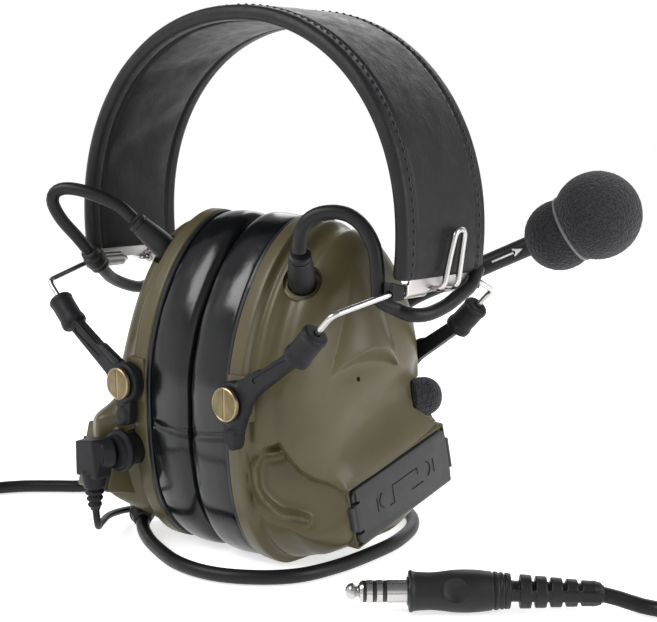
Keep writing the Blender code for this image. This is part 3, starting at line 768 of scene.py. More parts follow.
def shell_holes(side_name, side):
    foot, reach = gland_line(side_name)
    foam, way = Vector(FOAM_BASES[side]), Vector(FOAM_WAY)
    y, z = FACE_HOLE
    holes = [bay_shape((37, -25, -6.5), (60, 25, 6.5), 0.5, side),
             bay_shape((49.4, -27.3, -10.9), (60, 27.3, 10.9), 0.6, side),
             rod(foot - reach * 0.3, foot + reach, 5.0),
             rod(foot - reach * SEAT_SINK, foot + reach * 1.6, 6.6, sides=64),
             rod((44, y, z), (64, y, z), 0.9),
             rod(foam - way * 4, foam + way * 16, 7.6)]
    if side < 0:
        x, z = -MIC_SOCKET[0], MIC_SOCKET[1]
        return holes + [rod((x, -34, z), (x, -52, z), 6.4)]
    return holes + [rod((BUTTON_X, y - 14, z), (BUTTON_X, y + 8, z), 3.3)
                    for y, z in BUTTON_PLACES]


def make_shell(side_name, side):
    mesh = cut(shell_mesh(side), bay_shape((33, -27.6, -12), (50.7, 28.5, 12), 1.1, side),
               "UNION")
    for hole in shell_holes(side_name, side):
        mesh = cut(mesh, hole)
    body = f"cup_{side_name}"
    add_piece(f"shell_{side_name}", mesh, "olive", body,
              [f"cup_shell_{side_name}"], 32, side)
    foot, reach = gland_line(side_name)
    seat = foot - reach * SEAT_SINK
    collar = turned(seat - reach * 0.05, seat + reach,
                    [(0, 4.8), (1.0, 4.8), (1.4, 5.0), (1.5, 5.3), (1.4, 5.6), (1.0, 5.8),
                     (0.8, 6.5), (0, 6.5)], 48)
    add_piece(f"gland_seat_{side_name}", mesh_of(*collar), "olive", body, (), 40,
              side)
    tabs = []
    for end in (-1, 1):
        low_y, high_y = sorted((end * 36.0, end * 40.2))
        tabs.append(block((21.3, low_y, 55.0), (30.4, high_y, 70.6), 0.5, 3))
    add_piece(f"pivot_tabs_{side_name}", mesh_of(*join(*tabs)), "olive", body, (),
              40, side)


# ---------------------------------------------------------------- cushions and baffles

CUSHION_PROFILE = [(18.8, 3.0, 0), (18.7, 1.7, 0), (17.8, 0.9, 0), (15, 0.35, 0), (11, 0.05, 0),
                   (7, 0.1, 0), (4, 0.55, 0), (2.1, 1.5, 0), (1.0, 3.0, 0), (0.4, 5.4, 0),
                   (0.15, 9, 0), (0.9, 13.6, 0), (4, 16.2, 0), (9, 17.6, 0), (16, 17.6, 0),
                   (18.8, 16.4, 0)]
CREASE_Z = 46.0
LINER_COUNT = 128


def make_cushion(side_name, side):
    rings = cup_rings(CUSHION_PROFILE, 0.8)
    normals = grid_normals(rings).reshape(-1, 3)
    p = rings.reshape(-1, 3).copy()
    third = len(p) // 3
    if normals[third] @ (p[third] - [10, 0, CUP_MIDDLE_Z]) < 0:
        normals = -normals          # they have to point outwards
    rear = smooth_step(-p[:, 1], 0, 20)
    dent = -0.4 * bell(p[:, 2] - CREASE_Z - 0.12 * p[:, 0], 1.3) * rear
    dent += 0.3 * bell(p[:, 2] - CREASE_Z + 6, 6) * rear
    slow = np.array([noise.noise(Vector(q) * 0.07 + Vector((side * 9, 0, 0))) for q in p])
    fine = np.array([noise.noise(Vector((q[0] * 0.25, q[1] * 0.1, q[2] * 0.1))) for q in p])
    p += normals * (dent + 0.3 * slow + 0.07 * fine)[:, None]
    p[:, 0] = np.maximum(p[:, 0], 0.12)
    points, faces = loft(p.reshape(rings.shape), wrap=True)
    cushion = add_piece(f"cushion_{side_name}", mesh_of(points, faces), "vinyl",
                        f"cup_{side_name}", [f"ear_cushion_{side_name}"], None,
                        side)


def make_baffle(side_name, side):
    profile = [(20.6, 1.4, 0), (20.6, 0.8, 0), (20.2, 0.5, 0), (19.2, 0.5, 0), (18.9, 0.9, 0),
               (18.9, 17, 0), (19.1, 17.3, 0), (20.3, 17.3, 0), (20.6, 17, 0)]
    rings = np.array([cup_outline(*place) for place in profile])
    add_piece(f"rim_plate_{side_name}", mesh_of(*loft(rings, wrap=True)), "rim",
              f"cup_{side_name}", [f"baffle_{side_name}"], 35, side)


def make_liner(side_name, side):
    """Acoustic foam behind the driver, with rows of low bumps."""
    profile = [(28, 38, 0.3), (28, 9, 0.3), (27.4, 7.7, 0.3), (23.4, 7.7, 0.3), (22.7, 9, 0.3),
               (22.6, 14, 0.3), (22.6, 38, 0.3)]
    rings = np.array([cup_outline(*place, LINER_COUNT, side)
                      for place in smooth_route(profile, 1.6)])
    p = rings.reshape(-1, 3)
    front = smooth_step(-p[:, 0], -23.6, -22.7)
    p[:, 0] += front * 0.6 * (np.sin(p[:, 1] * 0.7) * np.sin(p[:, 2] * 0.7) + 1)
    rows = len(rings)
    faces = ring_faces(rows, LINER_COUNT, ends=False)
    faces += pair_cap(0, LINER_COUNT, True) + pair_cap(rows - 1, LINER_COUNT, False)
    liner = add_piece(f"liner_{side_name}", mesh_of(p, faces), "foam", f"cup_{side_name}",
                      [f"foam_liner_{side_name}"], None, side)


# ---------------------------------------------------------------- battery doors

DOOR_FACES = (49.5, 51.9)
DOOR_HALVES = (26.9, 10.5)      # half its length and half its height
DOOR_CORNER = 3.2


def bay_point(x, along, across, side=1):
    """A place in the compartment's tilted directions."""
    spot = Matrix.Rotation(BAY_TILT, 3, "X") @ Vector((0, along, across))
    return Vector((x, side * (BAY_CENTRE[0] + spot.y), BAY_CENTRE[1] + spot.z))


def rounded_plate(low_x, high_x, half_long, half_high, corner, edge, side):
    """A plate across the compartment with round corners and soft edges."""
    rings = []
    for x, inset in ((low_x, edge), (low_x + edge * 0.3, edge * 0.3), (low_x + edge, 0),
                     (high_x - edge, 0), (high_x - edge * 0.3, edge * 0.3), (high_x, edge)):
        ring = []
        for quarter in range(4):
            sy = 1 if quarter in (0, 3) else -1
            sz = 1 if quarter in (0, 1) else -1
            for k in range(7):
                angle = math.pi / 2 * (quarter + k / 6)
                ring.append(bay_point(x, sy * (half_long - corner)
                                      + (corner - inset) * math.cos(angle),
                                      sz * (half_high - corner)
                                      + (corner - inset) * math.sin(angle), side))
        rings.append(ring)
    return loft(rings)


def raised_line(points, radius, x, side):
    return sweep([bay_point(x, a, c, side) for a, c in points], radius, 8)


def make_door(side_name, side):
    """A door with two slots at its latch end, and a plain raised emblem on its face."""
    plate = mesh_of(*rounded_plate(*DOOR_FACES, *DOOR_HALVES, DOOR_CORNER, 0.7, side))
    for across in (-5.6, 5.6):
        plate = cut(plate, bay_shape((48, -28.5, across - 0.5), (53, -24.2, across + 0.5), 0.15,
                                     side))
    plate = cut(plate, bay_shape((51.1, -28, 5.6), (53, -25.4, 11), 0.2, side))
    body = f"door_{side_name}"
    add_piece(f"door_plate_{side_name}", plate, "door", body,
              [f"battery_door_{side_name}"], 30, side)
    arc = [(3.2 * math.cos(a), 3.2 * math.sin(a)) for a in np.linspace(-1.1, 1.1, 9)]
    marks = [([(-11 - c, 0.4 + s) for c, s in arc], 0.28),
             ([(12 + c, 0.4 + s) for c, s in arc], 0.28),
             ([(-9, -3.4), (-6.5, -3.4), (-6.5, 3.2), (8, 3.2), (8, 0.8)], 0.24),
             ([(-15.5, 2.6), (-15.5, -2.6)], 0.24), ([(17.4, 2.6), (17.4, -2.6)], 0.24),
             ([(10.6, -3.4), (4, -3.4)], 0.24)]
    lines = [raised_line(points, radius, DOOR_FACES[1], side) for points, radius in marks]
    add_piece(f"door_emblem_{side_name}", mesh_of(*join(*lines)), "black", body,
              (), 60, side)
    rib = bay_shape((50.2, 27.2, -6), (51.6, 28.6, 6), 0.5, side)
    latch = bay_shape((49.6, -28.4, -4.6), (51.5, -26.0, 4.6), 0.4, side)
    add_piece(f"door_ends_{side_name}", mesh_of(*join(rib, latch)), "door", body,
              (), 40, side)


# ---------------------------------------------------------------- arms and screws

LIMB_TIP = (57.0, 82.0)
SLEEVE = ((56.2, 81.1), (64.1, 89.0), 4.3)
ARM_MIDDLE = 43.1


def make_arm(end, end_name, side_name, side):
    """An arm from its pivot up to its sleeve, with a short heel below and a groove."""
    x, z = SCREW_AXIS
    def across(inner, outer):
        return [end * inner, end * outer]
    low, high, radius = SLEEVE
    start = Vector((low[0], end * ARM_MIDDLE, low[1]))
    finish = Vector((high[0], end * ARM_MIDDLE, high[1]))
    way = (finish - start).normalized()
    shapes = [rod((x, end * 40.7, z), (x, end * 45.4, z), 7.4, edge=0.8),
              limb((x + 2, z + 1, 5.4), (x + 13, z + 10, 2.8), across(41.4, 44.4)),
              limb((x + 6, z + 4, 3.0), (*LIMB_TIP, 2.35), across(40.9, 45.3)),
              limb((x + 1, z - 4, 4.6), (26.8, 49.2, 2.8), across(41, 44.6)),
              limb((27.6, 50.2, 3.0), (28.0, 48.0, 1.8), across(40.8, 45.6)),
              rod(start - way * 1.0, finish, radius, edge=0.7),
              rod(start - way * 1.6, start + way * 1.2, radius + 0.4, edge=0.4),
              rod(finish - way * 2.2, finish - way * 0.6, radius + 0.25, edge=0.4)]
    mesh = moulded(join(*shapes), 0.42, 5)
    groove = limb((x + 12, z + 9.2, 1.0), (x + 25, z + 16.6, 0.9), across(44.95, 48))
    bores = [groove, rod(finish - way * 8, finish + way * 2, 1.35),
             rod((x, end * 38, z), (x, end * 48, z), 3.2)]
    for shape in bores:
        mesh = cut(mesh, shape)
    add_piece(f"arm_body_{end_name}_{side_name}", mesh, "black", f"arms_{side_name}",
              [f"arm_{end_name}_{side_name}"], 50, side)


def make_screw(end, end_name, side_name, side):
    """A pivot screw; a painted highlight in lighter brass lies in its slot and round its rim."""
    x, z = SCREW_AXIS
    outline = [(0, 2.9), (9.8, 2.9), (9.81, 5.2), (10.1, 5.65), (10.9, 5.65), (11.3, 5.45),
               (11.45, 5.0), (11.5, 4.9)]
    head = mesh_of(*turned((x, end * 36, z), (x, end * 60, z), outline, 64))
    low_y, high_y = sorted((end * 47.0, end * 48.5))
    head = cut(head, block((x - 0.5, low_y, z - 6), (x + 0.5, high_y, z + 6)))
    body = f"cup_{side_name}"
    add_piece(f"screw_{end_name}_{side_name}", head, "brass", body,
              [f"pivot_screw_{end_name}_{side_name}"], 35, side)
    low_y, high_y = sorted((end * 46.9, end * 47.42))
    # Painted highlight: a strip of lighter brass in the slot and a thin ring of it round the head's
    # rim stand in for light caught there.
    painted_highlight = block((x - 0.3, low_y, z - 5.35), (x + 0.3, high_y, z + 5.35), 0.1, 2)
    rim = turned((x, end * 47.12, z), (x, end * 60, z),
                 [(0, 5.3), (0.25, 5.72), (0.5, 5.3), (0.25, 5.1)], 64)
    add_piece(f"screw_highlight_{end_name}_{side_name}", mesh_of(*join(painted_highlight, rim)), "painted_highlight_brass",
              body, (), 60, side)


# ---------------------------------------------------------------- headband

BAND_POWER = 2.1
BAND_CENTRE_Z = 118.0
BAND_FOOT_ANGLE = math.radians(99.5)
BAND_JOINT_ANGLE = math.radians(38.0)
BAND_HALF_WIDTH = 22.3
PAD_HALF_THICK = 3.0
PAD_BOX = (mm_box("band_pad_left")[0], mm_box("band_pad_right")[1], mm_box("band_pad_top")[1])
BAND_CENTRE_X = (PAD_BOX[0][0] + PAD_BOX[1][0]) / 2
BAND_HALF_X = (PAD_BOX[1][0] - PAD_BOX[0][0]) / 2 - PAD_HALF_THICK
BAND_HALF_Z = PAD_BOX[2][2] - BAND_CENTRE_Z - PAD_HALF_THICK
BAND_EDGE = 2.4                 # width of the rolled edge
BAND_END_SHARES = np.array([0.8, 0.985, 1.0])
BAND_BEND = 9                   # degrees to each side of the joint at which two band places are worked out
BAND_STEPS = 110
SEAM_Y = 16.4
STITCH_PITCH = 2.35             # degrees
WRINKLES = [(-66, 8, 9, 0.9), (-50, -6, 8, -0.5), (-36, 4, 8, 0.9), (-24, -8, 7, 0.5),
            (-78, -9, 8, 0.4), (30, 6, 9, 0.5), (52, -5, 9, 0.6), (74, 5, 8, 0.4),
            (88, -4, 6, 0.4), (8, 3, 9, 0.4)]


def band_place(angle, out=0.0):
    """A place along the band's middle line, or out from it; angle 0 is the top."""
    def place(a):
        s, c = math.sin(a), math.cos(a)
        power = 2 / BAND_POWER
        return Vector((BAND_CENTRE_X + BAND_HALF_X * math.copysign(abs(s) ** power, s), 0,
                       BAND_CENTRE_Z + BAND_HALF_Z * math.copysign(abs(c) ** power, c)))
    along = (place(angle + 0.004) - place(angle - 0.004)).normalized()
    return place(angle) + Vector((-along.z, 0, along.x)) * out


def edge_roll(y):
    """How far the pad keeps its thickness: 1 in the middle, 0 at its rolled long edges."""
    edge = max(0.0, (abs(y) - (BAND_HALF_WIDTH - BAND_EDGE)) / BAND_EDGE)
    return math.sqrt(max(0.0, 1 - min(edge, 0.999) ** 2))


def band_section(degrees):
    """The pad's section as (y, out) pairs at one place: flat outside, padded inside."""
    section = []
    across = np.concatenate([np.linspace(-1, -0.86, 7), np.linspace(-0.84, 0.84, 57),
                             np.linspace(0.86, 1, 7)])
    for t in across:
        y = t * BAND_HALF_WIDTH
        out = (2.75 + 0.2 * (1 - t * t)) * edge_roll(y)
        out -= 0.55 * math.exp(-((abs(y) - SEAM_Y) / 0.45) ** 2)
        out += 0.12 * noise.noise(Vector((y * 0.12, degrees * 0.08, 3)))
        section.append((y, out))
    for t in across[::-1]:
        y = t * BAND_HALF_WIDTH
        pad = max(0.0, 1 - (y / (SEAM_Y - 0.4)) ** 4)
        out = 2.5 * edge_roll(y) + 1.0 * pad
        out -= 0.9 * math.exp(-((abs(y) - SEAM_Y) / 0.7) ** 2)
        for place, skew, width, depth in WRINKLES:
            d = degrees - place - skew * y / 16
            out -= depth * math.exp(-(d / width * 1.6) ** 2) * pad
        out += 0.25 * pad * noise.noise(Vector((y * 0.1, degrees * 0.1, 8)))
        section.append((y, -out))
    return section


def band_surface(degrees, y, out):
    p = band_place(math.radians(degrees), out)
    return (p.x, y, p.z)


def stitches(side):
    """Two rows of short raised threads beside the pad's seams."""
    threads = []
    degrees = 1.0
    while degrees < math.degrees(BAND_FOOT_ANGLE) - 2:
        for y in (-SEAM_Y - 1.3, SEAM_Y + 1.3):
            thread = [band_surface(side * (degrees + STITCH_PITCH * share), y, out)
                      for share, out in ((0, 2.72), (0.34, 3.06), (0.68, 2.72))]
            threads.append(sweep(thread, [0.12, 0.26, 0.12], 6))
        degrees += STITCH_PITCH
    return join(*threads)


def make_band_half(side_name, side):
    foot, joint = math.degrees(BAND_FOOT_ANGLE), math.degrees(BAND_JOINT_ANGLE)
    rings = []
    for i in range(BAND_STEPS + 1):
        degrees = side * foot * i / BAND_STEPS
        rings.append([band_surface(degrees, y, out) for y, out in band_section(degrees)])
    rings = np.array(rings)
    middle = rings[-1].mean(axis=0)
    rings[-1] = middle + (rings[-1] - middle) * BAND_END_SHARES
    start = frame_point(band_surface(side * (joint - BAND_BEND), 0, 0))
    end = frame_point(band_surface(side * (joint + BAND_BEND), 0, 0))
    nodes = [f"band_pad_{side_name}"] + (["band_pad_top"] if side > 0 else [])
    pad = add_piece(f"band_cover_{side_name}", mesh_of(*loft(rings)), "leather", None,
                    nodes, 50)
    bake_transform(pad)
    sewn = add_piece(f"band_stitches_{side_name}", mesh_of(*stitches(side)), "thread", None,
                     (), 60)
    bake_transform(sewn)


# ---------------------------------------------------------------- feet, yokes and clips

FOOT_TUBE_Z = 100.3
WIRE_RADIUS = 1.0
WIRE_BEND = (70.2, 95.1)
WIRE_TAIL = (59.2, 84.1)
LOOP_HALF = 3.8
LOOP_LOW_Z = 101.0
LOOP_TOP_Z = 119.5
LOOP_LEAN = 3.0                 # how far forward the loop's top stands of its foot


def strip_between(start, finish, half_thick, half_width, steps):
    corners = ((-half_width, -half_thick), (half_width, -half_thick),
               (half_width, half_thick), (-half_width, half_thick))
    return loft([[band_surface(degrees, y, out) for y, out in corners]
                 for degrees in np.linspace(start, finish, steps + 1)])


def make_foot(side_name, side):
    """The spring strip, its rolled steel foot, the wire yoke in it and the two clips."""
    foot_x = band_place(side * BAND_FOOT_ANGLE).x
    tube_x = foot_x - side * 1.2
    plate_x = foot_x + side * 0.3
    plate = block((plate_x - 0.6, -16, 101.2), (plate_x + 0.6, 16, 113), 0.3, 2)
    tubes = []
    for end in (-1, 1):
        low_y, high_y = sorted((end * 6.4, end * 17))
        tubes.append(rod((tube_x, low_y, FOOT_TUBE_Z), (tube_x, high_y, FOOT_TUBE_Z), 2.1,
                         edge=0.35))
        tubes.append(block((min(tube_x, plate_x) - 0.5, low_y, 99.9),
                           (max(tube_x, plate_x) + 0.6, high_y, 103.2), 0.4, 3))
    mesh = moulded(join(plate, *tubes), 0.3, 2)
    mesh = cut(mesh, rod((tube_x, -30, FOOT_TUBE_Z), (tube_x, 30, FOOT_TUBE_Z), 1.2))
    body = f"band_{side_name}"
    joint = math.degrees(BAND_JOINT_ANGLE) + 0.3
    add_piece(f"foot_bracket_{side_name}", mesh, "satin_steel", body,
              [f"band_spring_{side_name}"], 40)
    strip = strip_between(side * joint, side * 94, 0.4, 17, 40)
    add_piece(f"spring_strip_{side_name}", mesh_of(*strip), "satin_steel", body, (), 40)
    make_yoke(side_name, side, foot_x, tube_x)
    for end, end_name in ((-1, "rear"), (1, "front")):
        x = tube_x - side * 0.6
        wedge = hull([(x + side * a, end * (21 + b), FOOT_TUBE_Z + c) for a, b, c in
                      ((-2.2, -3, -2.2), (2.2, -3, -2.2), (-2.2, -3, 2.6), (2.2, -3, 2.6),
                       (-2.0, 2.6, -2.2), (2.0, 2.6, -2.2), (-1.8, 2.6, 4), (1.8, 2.6, 4),
                       (0, 3.6, 1))])
        clip = moulded(join(wedge), 0.35, 4)
        clip = cut(clip, rod((tube_x, -30, FOOT_TUBE_Z), (tube_x, 30, FOOT_TUBE_Z), 1.25))
        add_piece(f"clip_{end_name}_{side_name}", clip, "black", body,
                  [f"cable_clip_{end_name}_{side_name}"], 40)


def make_yoke(side_name, side, foot_x, tube_x):
    """One wire from sleeve to sleeve, through the foot and up over the band as a loop."""
    loop_x = foot_x + side * (PAD_HALF_THICK + 2.0)
    half = [(side * WIRE_TAIL[0], ARM_MIDDLE, WIRE_TAIL[1]),
            (side * WIRE_BEND[0], ARM_MIDDLE, WIRE_BEND[1]), (tube_x, 24.5, FOOT_TUBE_Z),
            (tube_x, LOOP_HALF, FOOT_TUBE_Z), (loop_x, LOOP_HALF, LOOP_LOW_Z),
            (loop_x + side * 0.8, 3.1, 112.0), (loop_x + side * 1.6, 2.5, LOOP_TOP_Z)]
    route = [(x, -y, z) for x, y, z in half] + half[::-1]
    height = LOOP_TOP_Z - LOOP_LOW_Z
    route = [(x, y + LOOP_LEAN * max(0.0, (z - LOOP_LOW_Z) / height) if abs(y) < 4 else y, z)
             for x, y, z in route]
    wire = sweep(rounded_route(route, 2.6, 10), WIRE_RADIUS, 20)
    add_piece(f"yoke_wire_{side_name}", mesh_of(*wire), "steel", f"band_{side_name}",
              [f"yoke_{side_name}"], 60)


# ---------------------------------------------------------------- glands and held leads

LEAD_RADIUS = 2.4
AUDIO_ROUTES = {
    "right": [(44.4, -29.6, 112.4), (46, -31, 116.6), (48.5, -31.6, 121.3), (52, -30, 124.4),
              (57, -27.5, 125.5), (62, -25, 124.4), (66.6, -23.4, 120.6), (70, -22.8, 115),
              (71.4, -22.8, 109), (71.6, -22.4, 103), (71.8, -21.6, 98), (73.6, -15.3, 94.6),
              (77.4, -13.4, 93.0), (80, -7.9, 92.8), (81.4, 0.4, 94.8),
              (81.8, 8.1, 98), (81.2, 13.9, 100.0), (80.2, 17.9, 102.9)],
    "left": [(-44.4, -23.6, 118.4), (-47, -25.5, 121.6), (-50, -27.6, 124), (-55, -31, 126.6),
             (-61, -34.6, 128.8), (-66.6, -37.5, 129.3), (-70, -39.4, 127.6),
             (-71.2, -39.4, 123.6), (-70, -36.4, 117.4), (-67.6, -31.6, 111), (-66, -27, 105),
             (-66.6, -22.6, 100.6), (-69, -17.5, 96.8), (-72.6, -11, 93.2), (-75.6, -2, 89.8),
             (-77.4, 7, 87.6), (-78, 14.5, 88.6), (-77.6, 19.4, 93), (-76.4, 21, 98.6),
             (-76, 20, 102.6)],
}
LEAD_SPLIT = {"right": 9, "left": 8}
MIC_LEAD_ROUTE = [(-34.6, -52.2, 16.4), (-34.4, -51.8, 11.8), (-36.4, -49.6, 8.6),
                  (-41, -44.5, 7.8), (-48, -35.5, 7), (-53, -25, 5.6), (-55, -12, 4),
                  (-55.6, 2, 3.2), (-55.4, 16, 3.4), (-54, 30, 5), (-50, 41, 9),
                  (-43, 48, 13.5), (-34, 50, 18), (-28, 48.8, 21.6), (-25, 46.4, 26.4)]


def make_audio_lead(side_name):
    """The lead from a cup up over the band's foot, in a stretch on each side of the arms."""
    route = smooth_route(AUDIO_ROUTES[side_name], 1.5)
    route.append(route[-1] + (route[-1] - route[-3]).normalized() * 4)
    knot = Vector(AUDIO_ROUTES[side_name][LEAD_SPLIT[side_name]])
    split = min(range(len(route)), key=lambda i: (route[i] - knot).length)
    stretches = (("cup", route[:split + 1], f"cup_{side_name}", f"arms_{side_name}"),
                 ("band", route[split:], f"arms_{side_name}", f"band_{side_name}"))
    for part, points, first, second in stretches:
        nodes = [f"audio_cable_{side_name}"] if part == "cup" else []
        lead = add_piece(f"audio_lead_{part}_{side_name}", mesh_of(*sweep(points, LEAD_RADIUS)),
                         "cable", None, nodes, 60)
        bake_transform(lead)


def make_lead_clip():
    """The moulded clip that holds the left lead at the band's rear foot."""
    low, high = Vector((-66.1, -27.4, 105.6)), Vector((-67.5, -20.4, 98.9))
    way = (high - low).normalized()
    shapes = [rod(low, high, 3.5, 3.9, 0.8), rod(low + way * 3, low + way * 7, 4.2, 4.3, 0.6)]
    add_piece("lead_clip_left", moulded(join(*shapes), 0.35, 2), "rubber", "band_left",
              (), 50)


def make_gland(side_name, side):
    """The tapered boot from which an audio lead leaves its cup."""
    foot, reach = gland_line(side_name)
    outline = [(0, 4.0), (3.2, 4.7), (7.5, 4.65), (12, 4.2), (16.2, 3.75), (16.25, 3.3),
               (16.7, 3.25), (16.75, 3.8), (18.0, 3.7), (18.3, 3.3), (18.35, 2.5)]
    add_piece(f"gland_{side_name}", mesh_of(*turned(foot - reach * 0.2, foot + reach, outline)),
              "rubber", f"cup_{side_name}", [f"top_gland_{side_name}"], 40, side)


def make_mic_foam(side_name, side):
    """The foam dome over an outside microphone."""
    base, way = Vector(FOAM_BASES[side]), Vector(FOAM_WAY)
    outline = [(-3, 5.5), (-2.5, 7.1)] + [(3 + 6.5 * math.sin(a), 7.1 * math.cos(a) ** 0.8)
                                         for a in np.linspace(0, 1.45, 16)]
    add_piece(f"outside_mic_{side_name}", mesh_of(*turned(base, base + way * 20, outline)),
              "foam", f"cup_{side_name}", [f"mic_foam_{side_name}"], 60, side)


def make_connector():
    """The microphone's round socket, its angled plug with a ribbed boot, and the thin lead."""
    x, z = MIC_SOCKET
    ring = [(0, 6.0), (7.6, 6.0), (7.7, 7.3), (8.3, 7.7), (9.4, 7.7), (10.1, 7.2), (10.4, 6.3),
            (11.6, 6.0)]
    base = turned((x, -36.6, z), (x, -60, z), ring, 56)
    add_piece("connector_base", mesh_of(*base), "black", "cup_left",
              ["mic_socket"], 35)
    neck = rod((x - 1.6, -47.5, z), (x - 3.4, -52, z - 0.4), 5.4, 5.2, 0.6)
    head = hull([(x - 11.9, -56, 28.4), (x - 0.6, -56, 28.4), (x - 11.9, -49, 28.4),
                 (x - 0.6, -49, 28.4), (x - 11.9, -56, 40.8), (x - 2.6, -56, 42.2),
                 (x - 11.9, -49, 41.2), (x - 0.6, -49, 42.4), (x - 0.2, -53, 40)])
    shapes = [head, neck, rod((-34.9, -52.4, 30), (-34.8, -52.3, 25), 4.6, 4.0, 0.4)]
    for k in range(4):
        low = 25.2 - 2.3 * k
        shapes.append(rod((-34.8, -52.3, low), (-34.75, -52.25, low - 1.3), 3.9 - 0.42 * k,
                          3.75 - 0.42 * k, 0.3))
    shapes.append(rod((-34.8, -52.3, 26), (-34.6, -52.2, 15.6), 2.8, 1.75))
    mesh = moulded(join(*shapes), 0.36, 3)
    add_piece("mic_plug_body", mesh, "black", "cup_left", ["mic_plug"], 50)
    lead = sweep(smooth_route(MIC_LEAD_ROUTE, 1.5), 1.3, 16)
    add_piece("mic_lead_cable", mesh_of(*lead), "cable", "cup_left",
              ["mic_lead"], 60)


# ---------------------------------------------------------------- boom microphone

BOOM_PIVOT = (-15.4, 47.0, 34.0)
BOOM_ROUTE = [(-15.4, 51.6, 40), (-11.6, 54.6, 50), (-2, 59, 66.5), (14, 65, 84), (40, 72.5, 97),
              (65.7, 80.5, 109.5)]
BOOM_RADIUS = 3.75
FOAM_BALLS = [((72.2, 84.4, 112), 13.2), ((85.6, 88, 119.8), 16.3)]
RING_PLACE = 5.0                # from the small ball's centre towards the big one's
RING_RADIUS = 12.55
RING_THICKNESS = 0.6


def make_boom():
    """The boom: bracket, knuckle, bent tube, two-ball windscreen with its ring."""
    x, y, z = BOOM_PIVOT
    mount = [block((-29.6, 39.9, 27.4), (-19.4, 51.4, 40.6), 1.2, 3),
             rod((-22, y, z), (x + 4, y, z), 2.6, edge=0.3)]
    add_piece("boom_bracket", moulded(join(*mount), 0.4, 3), "black", "cup_left",
              ["boom_mount"], 45)
    route = smooth_route(BOOM_ROUTE, 2.0)
    knuckle = [rod((x - 3.3, y, z), (x + 3.1, y, z), 6.2, edge=0.7),
               rod((x, y + 3.5, z + 3.5), route[5], 3.9, edge=0.5),
               rod(route[2], route[7], 4.5, 4.2, edge=0.6)]
    mesh = cut(moulded(join(*knuckle), 0.4, 4), rod((x - 8, y, z), (x + 8, y, z), 2.9))
    add_piece("boom_knuckle", mesh, "black", "boom", ["boom_tube"], 45)
    add_piece("boom_neck", mesh_of(*sweep(route[2:], BOOM_RADIUS, 32)), "rubber", "boom",
              (), 60)
    make_boom_arrow(route)
    (low, low_radius), (high, high_radius) = [(Vector(c), r) for c, r in FOAM_BALLS]
    way = (high - low).normalized()
    balls = [foam_ball(low, low_radius), foam_ball(high, high_radius)]
    add_piece("foam_balls", mesh_of(*join(*balls)), "foam", "boom", ["windscreen"], 60)
    across = way.orthogonal().normalized()
    meet = low + way * RING_PLACE
    rings = [circle(point, (point - meet).normalized(), way, RING_THICKNESS, 12)
             for point in circle(meet, across, way.cross(across), RING_RADIUS, 48)]
    add_piece("foam_ring", mesh_of(*loft(rings, wrap=True)), "grey", "boom", (), 60)


def foam_ball(centre, radius):
    bm = bmesh.new()
    bmesh.ops.create_icosphere(bm, subdivisions=6, radius=1)
    for v in bm.verts:
        grain = 0.16 * noise.noise(v.co * radius * 1.4) + 0.1 * noise.noise(v.co * radius * 3.1)
        v.co = Vector(centre) + v.co * (radius + grain)
    return shape_of(bm)


def make_boom_arrow(route):
    """A plain white arrow that lies on the tube near the microphone, pointing to it."""
    facing = Vector(CAMERA_BACK)
    length = sum((b - a).length for a, b in zip(route, route[1:]))
    def on_tube(s, turn):
        walked = 0.0
        for a, b in zip(route, route[1:]):
            step = (b - a).length
            if walked + step >= s:
                point, way = a.lerp(b, (s - walked) / step), (b - a).normalized()
                break
            walked += step
        out = (facing - way * facing.dot(way)).normalized()
        side_way = way.cross(out)
        angle = turn / BOOM_RADIUS
        normal = out * math.cos(angle) + side_way * math.sin(angle)
        return point + normal * (BOOM_RADIUS + 0.12)
    base = length - 19.0
    rows = [(base, -0.35, 0.35), (base + 9, -0.35, 0.35), (base + 9.01, -1.6, 1.6),
            (base + 11, -0.8, 0.8), (base + 13, -0.05, 0.05)]
    points, faces = [], []
    for s, low, high in rows:
        points += [on_tube(s, low), on_tube(s, high)]
    for k in range(len(rows) - 1):
        faces.append((2 * k, 2 * k + 1, 2 * k + 3, 2 * k + 2))
    mesh = changed(mesh_of(points, faces), "SOLIDIFY", thickness=0.1)
    add_piece("boom_arrow", mesh, "white", "boom")


# ---------------------------------------------------------------- free lead and plug

DOWNLEAD_RADIUS = 2.5
DOWNLEAD_START = [(-40.2, -25.4, 4.6), (-36, -28.8, 3.2), (-29.5, -33, 2.8), (-17.6, -39.4, 2.8),
                  (1.8, -46.6, 2.8), (19.2, -46.8, 2.8), (33.4, -39.8, 2.8), (43, -28.7, 2.8),
                  (46.6, -13.2, 2.8), (46.8, 4, 2.8), (44.8, 22, 2.8), (38, 40, 2.8),
                  (26, 53, 2.8), (9, 59.6, 2.8), (-9, 60, 2.8), (-22, 62.2, 2.8),
                  (-29.6, 69.6, 2.8)]
COIL_CENTRE = (-62.0, 85.0)
COIL_OUTER = 30.2
COIL_STEP = 5.2
COIL_END = 530
DOWNLEAD_END = [(-92.4, 75, 7.3), (-95.2, 61, 4.6), (-96.8, 46, 2.8), (-94, 28, 2.8),
                (-94, 10, 2.8), (-99.5, -5, 2.8), (-110, -14.5, 2.8), (-120.8, -25, 2.8),
                (-127.5, -40, 2.8), (-124, -60, 2.8), (-108, -78, 2.8), (-80, -94, 2.8),
                (-46, -112, 2.8), (-12, -127, 2.8), (22, -125, 2.8), (58, -101, 2.8),
                (92, -72, 2.8), (128, -42, 2.8), (160, -14, 2.8), (168.5, 4, 2.8),
                (163, 17, 2.8), (152, 22, 2.8), (144, 20.4, 3.2), (138, 16.6, 5.2),
                (133.6, 13.6, 6.4)]
PLUG_TIP = (72.2, -39, 6.9)
PLUG_BACK = (108.8, -6.0, 6.9)
BOOT_END = (133.2, 13.3, 6.5)
BOOT_RIBS = 6
PIN_BANDS = ((6.6, 8.8), (9.8, 12.0), (13.0, 19.6))
